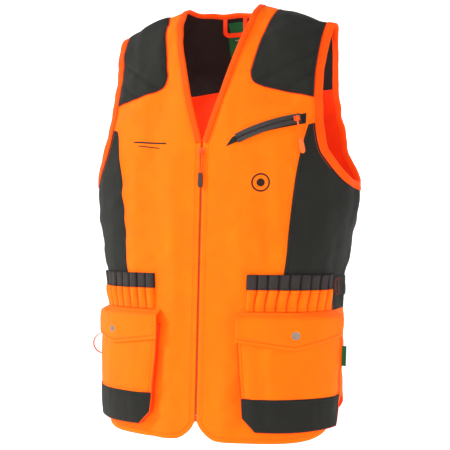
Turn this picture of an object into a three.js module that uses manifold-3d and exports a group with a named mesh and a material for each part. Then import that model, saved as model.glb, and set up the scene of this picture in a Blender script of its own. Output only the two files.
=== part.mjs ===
// A high-visibility shooting vest on an invisible body form: cut cloth panels, a two-row centre zip,
// bellows pockets with snapped flaps, cartridge loops, quilted shoulder patches and their trim.
// Millimetres. +Z is up, the front faces -Y, the wearer's left is +X, and z = 0 is the front hem.
import * as THREE from "three";
import { mergeVertices } from "three/addons/utils/BufferGeometryUtils.js";
import Module from "manifold-3d";

const wasm = await Module();
wasm.setup();

// ---------- driving sizes ----------

const RIDGE_HEIGHT = 735; // hem to the top of the shoulder ridge, beside the neck
const SHOULDER_RISE = 265; // the stretch below the ridge where front and back close together
const SHOULDER_SLOPE = 0.336; // fall of the ridge from the neck to the arm
const NECK_ROUNDING = 30; // how softly that fall starts at the neck
const RIDGE_BACKSET = 12; // the ridge lies this far behind the middle
const HALF_WAIST = 208; // half the width at the waist
const WAIST_HEIGHT = 244;
const HEM_INSET = 4; // the hem is this much narrower than the waist, each side
const CHEST_SPREAD = 25; // the chest is this much wider than the waist, each side
const ARM_INSET = 8; // how far the widest chest draws in at the shoulder blades
const FRONT_DEPTH_HEM = 140; // the middle to the centre front, at the hem
const FRONT_DEPTH_NECK = 110; // the same at the bottom of the neck opening
const BACK_DEPTH = 106; // the middle to the centre back, at the waist
const BACK_SPREAD = 14; // the shoulder blades stand this much further back
const SQUARENESS = 0.03; // flattens the front and back of the oval

const NECK_DEPTH = 259; // ridge to the bottom of the V
const ARMHOLE_DEPTH = 322; // ridge to the bottom of the armhole
const NECK_TURN = 15.5; // degrees round from the centre to the neck point on the ridge
const ARM_TURN = 63; // degrees round from the centre to the shoulder tip on the ridge
const BACK_NECK_DROP = 49; // ridge to the back neck edge, measured down the cloth
const SIDE_SEAM_TURN = 90;
const BACK_SEAM_TURN = 105; // the side panel's rear seam
const SHOULDER_SEAM_DROP = 18; // the yoke comes this far over the ridge to the front
const YOKE_SEAM_RUN = 165; // ridge to the seam of the back yoke, down the back
const VENT_HEIGHT = 64; // open side vents at the hem

const CLOTH = 1.6; // thickness of the shell cloth with its hems
const TRIM = 1; // thickness of bindings, bands and patches
const SEAM = 0.3; // gap between two panels that are sewn edge to edge
const LAYER = 0.4; // gap between two layers that are sewn face to face
const NECK_BINDING_WIDTH = 9;
const ARM_BINDING_WIDTH = 12;

const ZIP_BOTTOM = 30;
const ZIP_EDGE = 3.5; // the centre line to a front's edge
const TOOTH_INNER = 0.9; // half the gap that the slider's bridge runs in
const TOOTH_OUTER = 3.2;
const TOOTH_THICKNESS = 1.5;
const BOX_HEIGHT = 9.6; // the box and pin that the open end starts from
const TAPE_WIDTH = 12;
const TAPE_THICKNESS = 0.8;
const SLIDER_LENGTH = 13;
const SLIDER_WIDTH = 9.6;
const PLATE = 1.4; // thickness of a slider's plates
const RUNNING_GAP = 0.4; // between a slider and what it runs on
const PULL_CORD_LENGTH = 34;
const PULL_TIP_LENGTH = 24;
const PULL_TIP_WIDTH = 8;
const CORD_DIAMETER = 2.2;

const FLAP_TOP = 206; // height of the seam that carries the pocket flap
const POCKET_TOP = 184; // height of the pocket's mouth, under the flap
const POCKET_BOTTOM = 20;
const POCKET_START = 67; // centre front to the pocket, round the body
const POCKET_WIDTH = 176;
const POCKET_TAPER = 11; // the pocket is this much narrower at its foot, on the inner side
const POCKET_DEPTH = 12; // how far the bellows stand off the body
const POCKET_PATCH_HEIGHT = 51;
const FLAP_DROP_INNER = 47; // seam to the flap's lower corner nearer the zip
const FLAP_DROP_OUTER = 40; // seam to its other lower corner
const FLAP_DROP_POINT = 60; // seam to the flap's point
const FLAP_ALLOWANCE = 10; // height of the part that leads from the seam out to the fold
const FOLD_GAP = 0.6; // the flap turns freely below its fold
const FLAP_THICKNESS = 1.4;
const FLAP_POINT_PLACE = 0.5; // where the point lies along the flap
const FLAP_OVERHANG = 1.5;
const FLAP_STANDOFF = 3; // room between the pocket's face and the flap, for the snap
const SNAP_RADIUS = 8;
const SNAP_UP = 24; // the snap's centre above the flap's point

const BAND_BOTTOM = 241;
const BAND_HEIGHT = 24;
const BAND_START = 80; // centre front to the cartridge band, round the body
const LOOP_COUNT = 9;
const LOOP_PITCH = 17;
const LOOP_SLACK = 2.8; // room under a slack loop
const PLEAT_DEPTH = 5;
const ELASTIC_START = 4; // from the end of the band to the waist elastic
const ELASTIC_LENGTH = 84;
const ELASTIC_BOTTOM = 227;
const ELASTIC_HEIGHT = 33;

const WELT_START = [42, -6]; // x, and height over the bottom of the V, of the chest welt's inner point
const WELT_MIDDLE = [101, 16];
const WELT_END = [166, 30];
const WELT_HEIGHT = 17;
const CHEST_ZIP_LEVEL = 4.8; // how far the chest zip's arc stands over the shell
const CHEST_TAPE_WIDTH = 5.3;
const CHEST_TEETH_OUTER = 2.4;
const CHEST_TEETH_THICKNESS = 1.2;
const CHEST_SLIDER_WIDTH = 8;
const CHEST_SLIDER_LENGTH = 10;
const POCKET_BAG_DROP = 150;

const LOOP_WEBBING = 8; // width of the hanger loop's webbing
const HANGER_WIDTH = 46;
const HANGER_DROP = 34;
const LEAD_LOOP_HEIGHT = 36;
const LEAD_LOOP_REACH = 30;
const LEAD_LOOP_CENTRE = 134; // height of its middle on the pocket's outer edge
const RIBBON_WIDTH = 5;
const RIBBON = 1.2; // thickness of loop webbing and folded ribbon
const LABEL = 0.6; // thickness of a woven label
const SIDE_LABEL_BOTTOM = 116;
const SIDE_LABEL_HEIGHT = 32;

// ---------- places that follow from the sizes ----------

const YOKE_START = RIDGE_HEIGHT - SHOULDER_RISE;
const CHEST_HEIGHT = YOKE_START - 40;
const NECK_HEIGHT = RIDGE_HEIGHT - NECK_DEPTH;
const ARMHOLE_HEIGHT = RIDGE_HEIGHT - ARMHOLE_DEPTH;
const BAND_LENGTH = LOOP_COUNT * LOOP_PITCH;
const FLAP_FOLD = FLAP_TOP - FLAP_ALLOWANCE; // below this height the flap hangs over the mouth
const FOOT_CORNER = POCKET_BOTTOM + 21; // height where the pocket's foot is cut off aslant
const FULL_RUN = 2 * RIDGE_HEIGHT; // front hem to back hem, over the shoulder

// ---------- the body form ----------

const radians = THREE.MathUtils.degToRad;

// A smooth curve through [height, value] rows, as a function of height.
function through(rows) {
  const slopes = rows.map((row, i) => {
    const a = rows[Math.max(i - 1, 0)];
    const b = rows[Math.min(i + 1, rows.length - 1)];
    return (b[1] - a[1]) / (b[0] - a[0]);
  });
  return (height) => {
    let i = 0;
    while (i < rows.length - 2 && height > rows[i + 1][0]) i += 1;
    const span = rows[i + 1][0] - rows[i][0];
    const t = THREE.MathUtils.clamp((height - rows[i][0]) / span, 0, 1);
    const rise = t * t * (3 - 2 * t);
    const bend = slopes[i] * t * (1 - t) ** 2 - slopes[i + 1] * t * t * (1 - t);
    return rows[i][1] * (1 - rise) + rows[i + 1][1] * rise + bend * span;
  };
}

const waistToChest = (share) => THREE.MathUtils.lerp(WAIST_HEIGHT, CHEST_HEIGHT, share);
const halfWidth = through([
  [0, HALF_WAIST - HEM_INSET],
  [0.4 * WAIST_HEIGHT, HALF_WAIST - 2],
  [WAIST_HEIGHT, HALF_WAIST],
  [waistToChest(0.35), HALF_WAIST + 0.45 * CHEST_SPREAD],
  [waistToChest(0.72), HALF_WAIST + 0.88 * CHEST_SPREAD],
  [CHEST_HEIGHT, HALF_WAIST + CHEST_SPREAD],
  [YOKE_START + 30, HALF_WAIST + CHEST_SPREAD - ARM_INSET],
  [YOKE_START + 100, HALF_WAIST + CHEST_SPREAD - 2.4 * ARM_INSET],
  [RIDGE_HEIGHT + 1, HALF_WAIST + CHEST_SPREAD - 2.4 * ARM_INSET],
]);
const backDepth = through([
  [0, BACK_DEPTH + 3],
  [0.4 * WAIST_HEIGHT, BACK_DEPTH + 5],
  [WAIST_HEIGHT, BACK_DEPTH],
  [waistToChest(0.72), BACK_DEPTH + 0.85 * BACK_SPREAD],
  [CHEST_HEIGHT, BACK_DEPTH + BACK_SPREAD],
  [YOKE_START + 30, BACK_DEPTH + 0.6 * BACK_SPREAD],
  [RIDGE_HEIGHT + 1, BACK_DEPTH + 0.6 * BACK_SPREAD],
]);
const frontSlope = (FRONT_DEPTH_NECK - FRONT_DEPTH_HEM) / NECK_HEIGHT;
const frontDepth = (height) => FRONT_DEPTH_HEM + frontSlope * height;

// The oval's two shares: 1 wide at the side, 1 deep at the centre front.
const wide = (turn) => (Math.sin(turn) + SQUARENESS * Math.sin(3 * turn)) / (1 - SQUARENESS);
const deep = (turn) => (Math.cos(turn) - SQUARENESS * Math.cos(3 * turn)) / (1 - SQUARENESS);

// A point of the outer cloth surface: turn in degrees from the centre front, height in mm.
function ringPoint(turn, height) {
  const closing = THREE.MathUtils.clamp((height - YOKE_START) / SHOULDER_RISE, 0, 1) * (Math.PI / 2);
  const narrowing = Math.max(Math.cos(closing), 0) ** 0.8;
  const angle = radians(turn);
  const x = halfWidth(height) * wide(angle);
  const depth = Math.cos(angle) > 0 ? frontDepth(height) : backDepth(height);
  const y = RIDGE_BACKSET * Math.sin(closing) - depth * narrowing * deep(angle);
  const z = height > YOKE_START ? YOKE_START + SHOULDER_RISE * Math.sin(closing) : height;
  const share = THREE.MathUtils.smoothstep(z, YOKE_START - 60, RIDGE_HEIGHT);
  const fall = SHOULDER_SLOPE * (Math.hypot(x, NECK_ROUNDING) - NECK_ROUNDING);
  return new THREE.Vector3(x, y, z - share * fall);
}

// The same surface as one run of cloth: up the front, over the ridge, down the back.
function clothPoint(turn, run) {
  return run <= RIDGE_HEIGHT ? ringPoint(turn, run) : ringPoint(180 - turn, FULL_RUN - run);
}

const PROBE = 0.4;
function clothSlopes(turn, run) {
  const byTurn = clothPoint(turn + PROBE, run).sub(clothPoint(turn - PROBE, run));
  const byRun = clothPoint(turn, run + PROBE).sub(clothPoint(turn, run - PROBE));
  return [byTurn.divideScalar(2 * PROBE), byRun.divideScalar(2 * PROBE)];
}
function clothNormal(turn, run) {
  const [byTurn, byRun] = clothSlopes(turn, run);
  return byTurn.cross(byRun).normalize();
}

// The form's facets: every layer is built on the same ones, so layers never cut into each other.
const TURN_STEP = 12;
const upperRows = [0, 0.16, 0.32, 0.48, 0.64, 0.79, 0.91, 1];
const steps = (from, to, count) =>
  Array.from({ length: count }, (_, i) => from + ((to - from) * i) / count);
const risingRows = [
  ...steps(0, FLAP_FOLD, 4),
  ...steps(FLAP_FOLD, YOKE_START, 6),
  ...upperRows.map((share) => YOKE_START + SHOULDER_RISE * share),
];
const runLines = [...risingRows, ...risingRows.slice(0, -1).reverse().map((row) => FULL_RUN - row)];
const corners = new Map();
function corner(column, row) {
  const key = column * 1000 + row;
  if (!corners.has(key)) {
    const turn = column * TURN_STEP;
    corners.set(key, [clothPoint(turn, runLines[row]), clothNormal(turn, runLines[row])]);
  }
  return corners.get(key);
}

// A place on or over the form: turn, run, and height over the cloth's outer face.
function place(turn, run, over = 0) {
  const column = Math.floor(turn / TURN_STEP + 1e-9);
  let row = 0;
  while (row < runLines.length - 2 && run > runLines[row + 1] - 1e-9) row += 1;
  const u = turn / TURN_STEP - column;
  const v = (run - runLines[row]) / (runLines[row + 1] - runLines[row]);
  const low = corner(column, row);
  const high = corner(column + 1, row + 1);
  const side = u >= v ? corner(column + 1, row) : corner(column, row + 1);
  const shares = u >= v ? [1 - u, u - v, v] : [1 - v, v - u, u];
  const sum = new THREE.Vector3();
  [low, side, high].forEach(([point, normal], i) => {
    sum.addScaledVector(point, shares[i]).addScaledVector(normal, shares[i] * over);
  });
  return sum;
}

// ---------- outlines on the cloth: lists of [turn, run], anticlockwise from outside ----------

// The turn where the surface at this height is x from the middle, on the front.
function turnAtX(x, height) {
  let low = 0;
  let high = 90;
  for (let i = 0; i < 40; i += 1) {
    const middle = (low + high) / 2;
    if (clothPoint(middle, height).x < Math.abs(x)) low = middle;
    else high = middle;
  }
  return Math.sign(x) * low;
}
// The turn and run of a point of the front, given as x and z.
function onFront(x, z) {
  let low = 0;
  let high = RIDGE_HEIGHT;
  for (let i = 0; i < 40; i += 1) {
    const middle = (low + high) / 2;
    if (clothPoint(turnAtX(x, middle), middle).z < z) low = middle;
    else high = middle;
  }
  return [turnAtX(x, low), low];
}
// The turn reached by measuring a distance round the body from the centre front.
function turnAround(distance, height) {
  let travelled = 0;
  let before = clothPoint(0, height);
  for (let turn = 1; turn <= 180; turn += 1) {
    const here = clothPoint(turn, height);
    const stretch = here.distanceTo(before);
    if (travelled + stretch >= Math.abs(distance)) {
      return Math.sign(distance) * (turn - 1 + (Math.abs(distance) - travelled) / stretch);
    }
    travelled += stretch;
    before = here;
  }
  return Math.sign(distance) * 180;
}
const round = (distance, height) => [turnAround(distance, height), height];

function smooth(points, steps) {
  const curve = new THREE.SplineCurve(points.map(([turn, run]) => new THREE.Vector2(turn, run)));
  return curve.getPoints(steps).map((point) => [point.x, point.y]);
}
const mirrored = (outline) => outline.map(([turn, run]) => [-turn, run]).reverse();
// A place of the ring behind the side, as turn and run of the cloth that came over the shoulder.
const behind = ([turn, height]) => [180 - turn, FULL_RUN - height];

// Moves each point of an outline a real distance to the left of the way the outline runs.
function shifted(points, distance, closed = true) {
  const count = points.length;
  return points.map(([turn, run], i) => {
    const here = clothPoint(turn, run);
    const next = points[closed ? (i + 1) % count : Math.min(i + 1, count - 1)];
    const last = points[closed ? (i + count - 1) % count : Math.max(i - 1, 0)];
    const ahead = clothPoint(...next).sub(here).normalize();
    const back = here.clone().sub(clothPoint(...last)).normalize();
    if (!closed && i === 0) back.copy(ahead);
    if (!closed && i === count - 1) ahead.copy(back);
    const normal = clothNormal(turn, run);
    const left = normal.clone().cross(ahead).add(normal.clone().cross(back)).normalize();
    const reach = distance / Math.max(left.dot(normal.clone().cross(ahead)), 0.4);
    const [byTurn, byRun] = clothSlopes(turn, run);
    const [tt, tr, rr] = [byTurn.dot(byTurn), byTurn.dot(byRun), byRun.dot(byRun)];
    const [lt, lr] = [left.dot(byTurn) * reach, left.dot(byRun) * reach];
    const scale = tt * rr - tr * tr;
    return [turn + (lt * rr - lr * tr) / scale, run + (lr * tt - lt * tr) / scale];
  });
}
const inset = (outline) => shifted(outline, SEAM / 2);
// The outline of a strip that follows an open line of points, on its left.
const strip = (line, width) => [...line, ...shifted(line, width, false).reverse()];

// ---------- solids on the cloth ----------

// Splits an outline by the line a-b and returns the parts on its left.
function partsLeftOf(outline, a, b) {
  const side = (p) => (b[0] - a[0]) * (p[1] - a[1]) - (b[1] - a[1]) * (p[0] - a[0]);
  const along = (p) => (b[0] - a[0]) * (p[0] - a[0]) + (b[1] - a[1]) * (p[1] - a[1]);
  const sides = outline.map(side);
  if (sides.every((s) => s >= 0)) return [outline];
  if (sides.every((s) => s <= 0)) return [];
  const crossing = (i, j) => {
    if (sides[i] === 0) return outline[i];
    if (sides[j] === 0) return outline[j];
    const [p, q, s, t] = i < j ? [outline[i], outline[j], sides[i], sides[j]]
      : [outline[j], outline[i], sides[j], sides[i]];
    const share = s / (s - t);
    return [p[0] + (q[0] - p[0]) * share, p[1] + (q[1] - p[1]) * share];
  };
  const start = sides.findIndex((s) => s < 0);
  const chains = [];
  let chain = null;
  for (let k = 0; k < outline.length; k += 1) {
    const i = (start + k) % outline.length;
    const j = (i + 1) % outline.length;
    if (sides[i] < 0 && sides[j] >= 0) {
      chain = [crossing(i, j)];
      if (sides[j] > 0) chain.push(outline[j]);
    } else if (sides[i] >= 0 && sides[j] >= 0) {
      chain.push(outline[j]);
    } else if (sides[i] >= 0 && sides[j] < 0) {
      if (sides[i] > 0) chain.push(crossing(i, j));
      if (chain.length > 2) chains.push(chain);
    }
  }
  // Along the line each leaving end joins the next entering end.
  const ends = chains.flatMap((c, i) => [
    { i, leaving: false, at: along(c[0]) },
    { i, leaving: true, at: along(c[c.length - 1]) },
  ]);
  ends.sort((p, q) => p.at - q.at);
  for (let k = 0; k + 1 < ends.length; k += 1) {
    const wanted = k % 2 === 0;
    if (ends[k].leaving !== wanted) [ends[k], ends[k + 1]] = [ends[k + 1], ends[k]];
  }
  const follows = new Map();
  for (let k = 0; k + 1 < ends.length; k += 2) follows.set(ends[k].i, ends[k + 1].i);
  const parts = [];
  const used = new Set();
  for (const [first] of follows) {
    const part = [];
    let i = first;
    while (!used.has(i)) {
      used.add(i);
      part.push(...chains[i]);
      i = follows.get(i);
    }
    if (part.length > 2) parts.push(part);
  }
  return parts;
}

const area = (p) => THREE.ShapeUtils.area(p.map(([x, y]) => new THREE.Vector2(x, y)));

// Cuts an outline along the form's facets into flat triangles: { points, triangles }.
function facets(outline) {
  const points = [];
  const triangles = [];
  const known = new Map();
  const number = ([turn, run]) => {
    const key = Math.round(turn * 1e5) + "," + Math.round(run * 1e5);
    if (!known.has(key)) {
      known.set(key, points.length);
      points.push([turn, run]);
    }
    return known.get(key);
  };
  const turns = outline.map((p) => p[0]);
  const runs = outline.map((p) => p[1]);
  const lastColumn = Math.ceil(Math.max(...turns) / TURN_STEP);
  for (let column = Math.floor(Math.min(...turns) / TURN_STEP); column < lastColumn; column += 1) {
    for (let row = 0; row < runLines.length - 1; row += 1) {
      const [low, high] = [runLines[row], runLines[row + 1]];
      if (high <= Math.min(...runs) || low >= Math.max(...runs)) continue;
      const [west, east] = [column * TURN_STEP, (column + 1) * TURN_STEP];
      const cells = [
        [[west, low], [east, low], [east, high]],
        [[west, low], [east, high], [west, high]],
      ];
      for (const [a, b, c] of cells) {
        let parts = [outline];
        for (const [p, q] of [[a, b], [b, c], [c, a]]) {
          parts = parts.flatMap((part) => partsLeftOf(part, p, q));
        }
        for (const part of parts) {
          const numbers = part.map(number).filter((n, i, all) => n !== all[(i + 1) % all.length]);
          if (numbers.length < 3 || area(numbers.map((n) => points[n])) < 1e-6) continue;
          const flat = numbers.map((n) => new THREE.Vector2(...points[n]));
          for (const face of THREE.ShapeUtils.triangulateShape(flat, [])) {
            triangles.push(face.map((i) => numbers[i]));
          }
        }
      }
    }
  }
  return { points, triangles };
}

// A closed layer of cloth between two heights over the form. A height may be a function of
// the place, as on a flap that lifts off the body.
function layer(outline, inner, outer) {
  const { points, triangles } = facets(outline);
  const at = (height, [turn, run]) => (typeof height === "function" ? height(turn, run) : height);
  const positions = [
    ...points.flatMap((p) => place(...p, at(inner, p)).toArray()),
    ...points.flatMap((p) => place(...p, at(outer, p)).toArray()),
  ];
  const count = points.length;
  const faces = triangles.flatMap(([a, b, c]) => [a + count, b + count, c + count, c, b, a]);
  const edges = new Set(triangles.flatMap(([a, b, c]) => [`${a},${b}`, `${b},${c}`, `${c},${a}`]));
  for (const edge of edges) {
    const [a, b] = edge.split(",").map(Number);
    if (!edges.has(`${b},${a}`)) faces.push(a, b, b + count, a, b + count, a + count);
  }
  const geometry = new THREE.BufferGeometry();
  geometry.setAttribute("position", new THREE.Float32BufferAttribute(positions, 3));
  geometry.setIndex(faces);
  return geometry;
}

// A strip along the cloth whose section changes from station to station.
// Each station is { turn, inner, outer }; it reaches from one height to another.
function wave(stations, bottom, top, fall = () => 1) {
  const positions = [];
  for (const { turn, inner, outer } of stations) {
    const [low, high] = [fall(bottom), fall(top)];
    positions.push(
      ...place(turn, bottom, inner(low)).toArray(), ...place(turn, top, inner(high)).toArray(),
      ...place(turn, top, outer(high)).toArray(), ...place(turn, bottom, outer(low)).toArray(),
    );
  }
  return swept(positions, stations.length, 4, [[0, 1, 2], [0, 2, 3]]);
}
// Closes a sweep: every station gives the same section, whose outline runs clockwise seen from
// the sweep's start, and faces lists the triangles that close its two ends.
function swept(positions, count, size, ends) {
  const faces = [];
  for (let i = 0; i + 1 < count; i += 1) {
    for (let k = 0; k < size; k += 1) {
      const [p, q] = [size * i + k, size * i + ((k + 1) % size)];
      faces.push(p, q, q + size, p, q + size, p + size);
    }
  }
  const last = size * (count - 1);
  for (const [a, b, c] of ends) faces.push(a, c, b, last + a, last + b, last + c);
  const geometry = new THREE.BufferGeometry();
  geometry.setAttribute("position", new THREE.Float32BufferAttribute(positions, 3));
  geometry.setIndex(faces);
  return geometry;
}

// ---------- solids that stand by themselves ----------

// The frame of a place: X round the body, Y up the cloth, Z out of it.
function frameAt(turn, run, over = 0) {
  const normal = clothNormal(turn, run);
  const up = clothSlopes(turn, run)[1].normalize();
  const across = up.clone().cross(normal).normalize();
  up.crossVectors(normal, across);
  const origin = clothPoint(turn, run).addScaledVector(normal, over);
  return new THREE.Matrix4().makeBasis(across, up, normal).setPosition(origin);
}
function box(width, height, depth, x = 0, y = 0, z = 0) {
  return new THREE.BoxGeometry(width, height, depth).translate(x, y, z);
}
function solid(geometry) {
  const bare = geometry.clone();
  bare.deleteAttribute("normal");
  bare.deleteAttribute("uv");
  const merged = mergeVertices(bare, 1e-4);
  return new wasm.Manifold(new wasm.Mesh({
    numProp: 3,
    vertProperties: merged.attributes.position.array,
    triVerts: new Uint32Array(merged.index.array),
  }));
}
function geometryOf(manifold) {
  const mesh = manifold.getMesh();
  const geometry = new THREE.BufferGeometry();
  geometry.setAttribute("position", new THREE.Float32BufferAttribute(mesh.vertProperties, 3));
  geometry.setIndex([...mesh.triVerts]);
  return geometry;
}
const joined = (...geometries) => geometryOf(geometries.map(solid).reduce((a, b) => a.add(b)));
// A turned piece: [radius, height] rows from the axis back to the axis, standing on Z.
function turned(rows, segments = 16) {
  const profile = rows.map(([radius, height]) => new THREE.Vector2(radius, height));
  return new THREE.LatheGeometry(profile, segments).rotateX(Math.PI / 2);
}
// A round cord along a path of points.
function cord(points, diameter, steps) {
  const section = new THREE.Shape(
    Array.from({ length: 8 }, (_, i) => new THREE.Vector2(
      (diameter / 2) * Math.cos((i * Math.PI) / 4),
      (diameter / 2) * Math.sin((i * Math.PI) / 4),
    )),
  );
  const path = new THREE.CatmullRomCurve3(points.map((p) => new THREE.Vector3(...p)));
  return new THREE.ExtrudeGeometry(section, { steps, extrudePath: path, curveSegments: 1 });
}

// ---------- colours ----------

const cloth = (color, roughness = 0.85, metalness = 0) =>
  new THREE.MeshStandardMaterial({ color, roughness, metalness });
const ORANGE = 0xff7a08;
const DARK = 0x33332f;
const GREEN = 0x1e6e34;
const vest = new THREE.Group();
vest.name = "blaze_orange_vest";
function add(name, geometry, material) {
  const mesh = new THREE.Mesh(geometry, material);
  mesh.name = name;
  vest.add(mesh);
}
// A piece that both sides have: made for the wearer's left, and mirrored in outline for the right.
function addBoth(name, outline, inner, outer, color) {
  add(`${name}_left`, layer(outline, inner, outer), cloth(color));
  add(`${name}_right`, layer(mirrored(outline), inner, outer), cloth(color));
}

// ---------- the seam lines, for the wearer's left ----------

const centreTurn = (height, x = ZIP_EDGE) => turnAtX(x, height);
const hemLine = smooth([
  [centreTurn(ZIP_BOTTOM), ZIP_BOTTOM], [2.6, 17], [6.6, 4], [12, 0.5], [28, 0.3], [46, 1], [57, 4],
  [66, 11], [73, 23], [81, 44], [SIDE_SEAM_TURN, VENT_HEIGHT],
], 24);
const neckFront = smooth([
  [centreTurn(NECK_HEIGHT), NECK_HEIGHT],
  [3.6, NECK_HEIGHT + 0.11 * NECK_DEPTH],
  [7.2, NECK_HEIGHT + 0.24 * NECK_DEPTH],
  [11.6, NECK_HEIGHT + 0.43 * NECK_DEPTH],
  [14.8, NECK_HEIGHT + 0.63 * NECK_DEPTH],
  [16, NECK_HEIGHT + 0.83 * NECK_DEPTH],
  [NECK_TURN, RIDGE_HEIGHT],
], 10);
const neckBack = smooth([
  [NECK_TURN, RIDGE_HEIGHT],
  [NECK_TURN - 1, RIDGE_HEIGHT + 0.36 * BACK_NECK_DROP],
  [NECK_TURN - 4.5, RIDGE_HEIGHT + 0.72 * BACK_NECK_DROP],
  [NECK_TURN - 9.5, RIDGE_HEIGHT + 0.95 * BACK_NECK_DROP],
  [0, RIDGE_HEIGHT + BACK_NECK_DROP],
], 7);
const armFront = smooth([
  [SIDE_SEAM_TURN, ARMHOLE_HEIGHT],
  [73, ARMHOLE_HEIGHT + 0.03 * ARMHOLE_DEPTH],
  [61, ARMHOLE_HEIGHT + 0.11 * ARMHOLE_DEPTH],
  [55.2, ARMHOLE_HEIGHT + 0.2 * ARMHOLE_DEPTH],
  [54.2, ARMHOLE_HEIGHT + 0.3 * ARMHOLE_DEPTH],
  [55.4, ARMHOLE_HEIGHT + 0.43 * ARMHOLE_DEPTH],
  [58, ARMHOLE_HEIGHT + 0.6 * ARMHOLE_DEPTH],
  [61, ARMHOLE_HEIGHT + 0.8 * ARMHOLE_DEPTH],
  [ARM_TURN, RIDGE_HEIGHT],
], 20);
const armBack = smooth([
  [ARM_TURN, RIDGE_HEIGHT],
  [60, RIDGE_HEIGHT + 0.2 * ARMHOLE_DEPTH],
  [56.5, RIDGE_HEIGHT + 0.45 * ARMHOLE_DEPTH],
  [55.5, RIDGE_HEIGHT + 0.65 * ARMHOLE_DEPTH],
  [58.5, RIDGE_HEIGHT + 0.8 * ARMHOLE_DEPTH],
  [66, RIDGE_HEIGHT + 0.92 * ARMHOLE_DEPTH],
  [77, RIDGE_HEIGHT + 0.985 * ARMHOLE_DEPTH],
  [SIDE_SEAM_TURN, RIDGE_HEIGHT + ARMHOLE_DEPTH],
], 16);
const armFrom = (line, test) => line.filter(([turn, run]) => test(turn, run));
const SIDE_TIP = ARMHOLE_HEIGHT + 0.29 * ARMHOLE_DEPTH; // top of the dark side panel, on the armhole
const sideFront = smooth([
  [36.5, FLAP_TOP],
  [36.8, waistToChest(0.2)],
  [36.4, waistToChest(0.6)],
  [37.5, CHEST_HEIGHT - 10],
  [41, SIDE_TIP - 38],
  [45.5, SIDE_TIP - 6],
], 8);
const seamRun = RIDGE_HEIGHT - SHOULDER_SEAM_DROP;
const armAt = (line, run) => {
  const i = line.findIndex(([, r], k) => k > 0 && (r - run) * (line[k - 1][1] - run) <= 0);
  const [[t0, r0], [t1, r1]] = [line[i - 1], line[i]];
  return [t0 + ((t1 - t0) * (run - r0)) / (r1 - r0), run];
};
const armTip = armAt(armFront, SIDE_TIP);
const armSeam = armAt(armFront, seamRun);
const neckSeam = armAt(neckFront, seamRun);
const backSeamTop = armBack.find(([turn]) => turn > 180 - BACK_SEAM_TURN && turn > 70);

// ---------- the shell ----------

const frontPanel = [
  ...hemLine,
  [SIDE_SEAM_TURN, FLAP_TOP],
  ...sideFront,
  armTip,
  ...armFrom(armFront, (_, run) => run > SIDE_TIP + 2 && run < seamRun - 2),
  armSeam,
  neckSeam,
  ...armFrom(neckFront, (_, run) => run < seamRun - 2).reverse(),
];
addBoth("front_panel", inset(frontPanel), -CLOTH, 0, ORANGE);

const underarmBack = armFrom(armBack, (turn, run) => run > backSeamTop[1] + 0.5).map(behind);
const sidePanel = [
  [BACK_SEAM_TURN, FLAP_TOP],
  behind(backSeamTop),
  ...underarmBack,
  ...armFrom(armFront, (turn, run) => turn < SIDE_SEAM_TURN - 1 && run < SIDE_TIP - 2),
  armTip,
  ...sideFront.slice().reverse(),
];
addBoth("side_panel", inset(sidePanel), -CLOTH, 0, DARK);

const halfBack = [
  [0, FULL_RUN - 8],
  [180 - BACK_SEAM_TURN - 20, FULL_RUN - 8],
  [68, FULL_RUN - 20],
  [79, FULL_RUN - 44],
  [SIDE_SEAM_TURN, FULL_RUN - VENT_HEIGHT],
  [SIDE_SEAM_TURN, FULL_RUN - FLAP_TOP],
  [180 - BACK_SEAM_TURN, FULL_RUN - FLAP_TOP],
];
const yokeSeam = RIDGE_HEIGHT + YOKE_SEAM_RUN;
const armYoke = armAt(armBack, yokeSeam);
const backHalf = [
  ...halfBack,
  backSeamTop,
  ...armFrom(armBack, (turn, run) => run < backSeamTop[1] - 0.5 && run > yokeSeam + 2).reverse(),
  armYoke,
  [24, yokeSeam + 14],
  [0, yokeSeam + 18],
];
// Both halves of a piece that spans the centre back, as one outline running anticlockwise.
const wholeBack = (half) => [
  ...half.filter(([turn]) => turn > 0).reverse(),
  ...mirrored(half).filter(([turn]) => turn < 0).reverse(),
];
add("back_panel", layer(inset(wholeBack(backHalf)), -CLOTH, 0), cloth(ORANGE));

const yokeHalf = [
  [0, yokeSeam + 18],
  [24, yokeSeam + 14],
  armYoke,
  ...armFrom(armBack, (_, run) => run > RIDGE_HEIGHT + 1 && run < yokeSeam - 2).reverse(),
  [ARM_TURN, RIDGE_HEIGHT],
  armSeam,
  neckSeam,
  ...armFrom(neckFront, (_, run) => run > seamRun + 2),
  ...neckBack.slice(1),
];
add("back_yoke", layer(inset(wholeBack(yokeHalf)), -CLOTH, 0), cloth(DARK));

// ---------- bindings, facings and patches ----------

const OVER = LAYER; // first layer outside the shell
const UNDER = -CLOTH - LAYER; // first layer inside the shell

const neckLine = [...neckFront, ...neckBack.slice(1)];
const fullNeck = [...neckLine, ...mirrored(neckLine).slice(1)];
add("neck_binding", layer(strip(fullNeck, -NECK_BINDING_WIDTH).reverse(), OVER, OVER + TRIM),
  cloth(ORANGE));

const armLine = [...armFront.slice(0, -1), ...armBack];
const armEnds = armLine.map(([turn, run]) => [Math.min(turn, SIDE_SEAM_TURN - 0.04), run]);
addBoth("armhole_binding", strip(armEnds, ARM_BINDING_WIDTH), OVER, OVER + TRIM, ORANGE);

const patchArm = shifted(
  armFrom(armLine, (_, run) => run > NECK_HEIGHT + 62 && run < seamRun - 4), ARM_BINDING_WIDTH + 0.5, false,
);
const patchInner = smooth([[25.2, seamRun - 3], [23, RIDGE_HEIGHT - 90], [19.2, RIDGE_HEIGHT - 160],
  [18.4, RIDGE_HEIGHT - 176], [19.8, RIDGE_HEIGHT - 188], [24, RIDGE_HEIGHT - 192]], 10);
addBoth("shoulder_patch", [...patchInner, ...patchArm, [patchArm.at(-1)[0] - 0.3, seamRun - 3]],
  OVER, OVER + 2.6 * TRIM, DARK);

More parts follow.
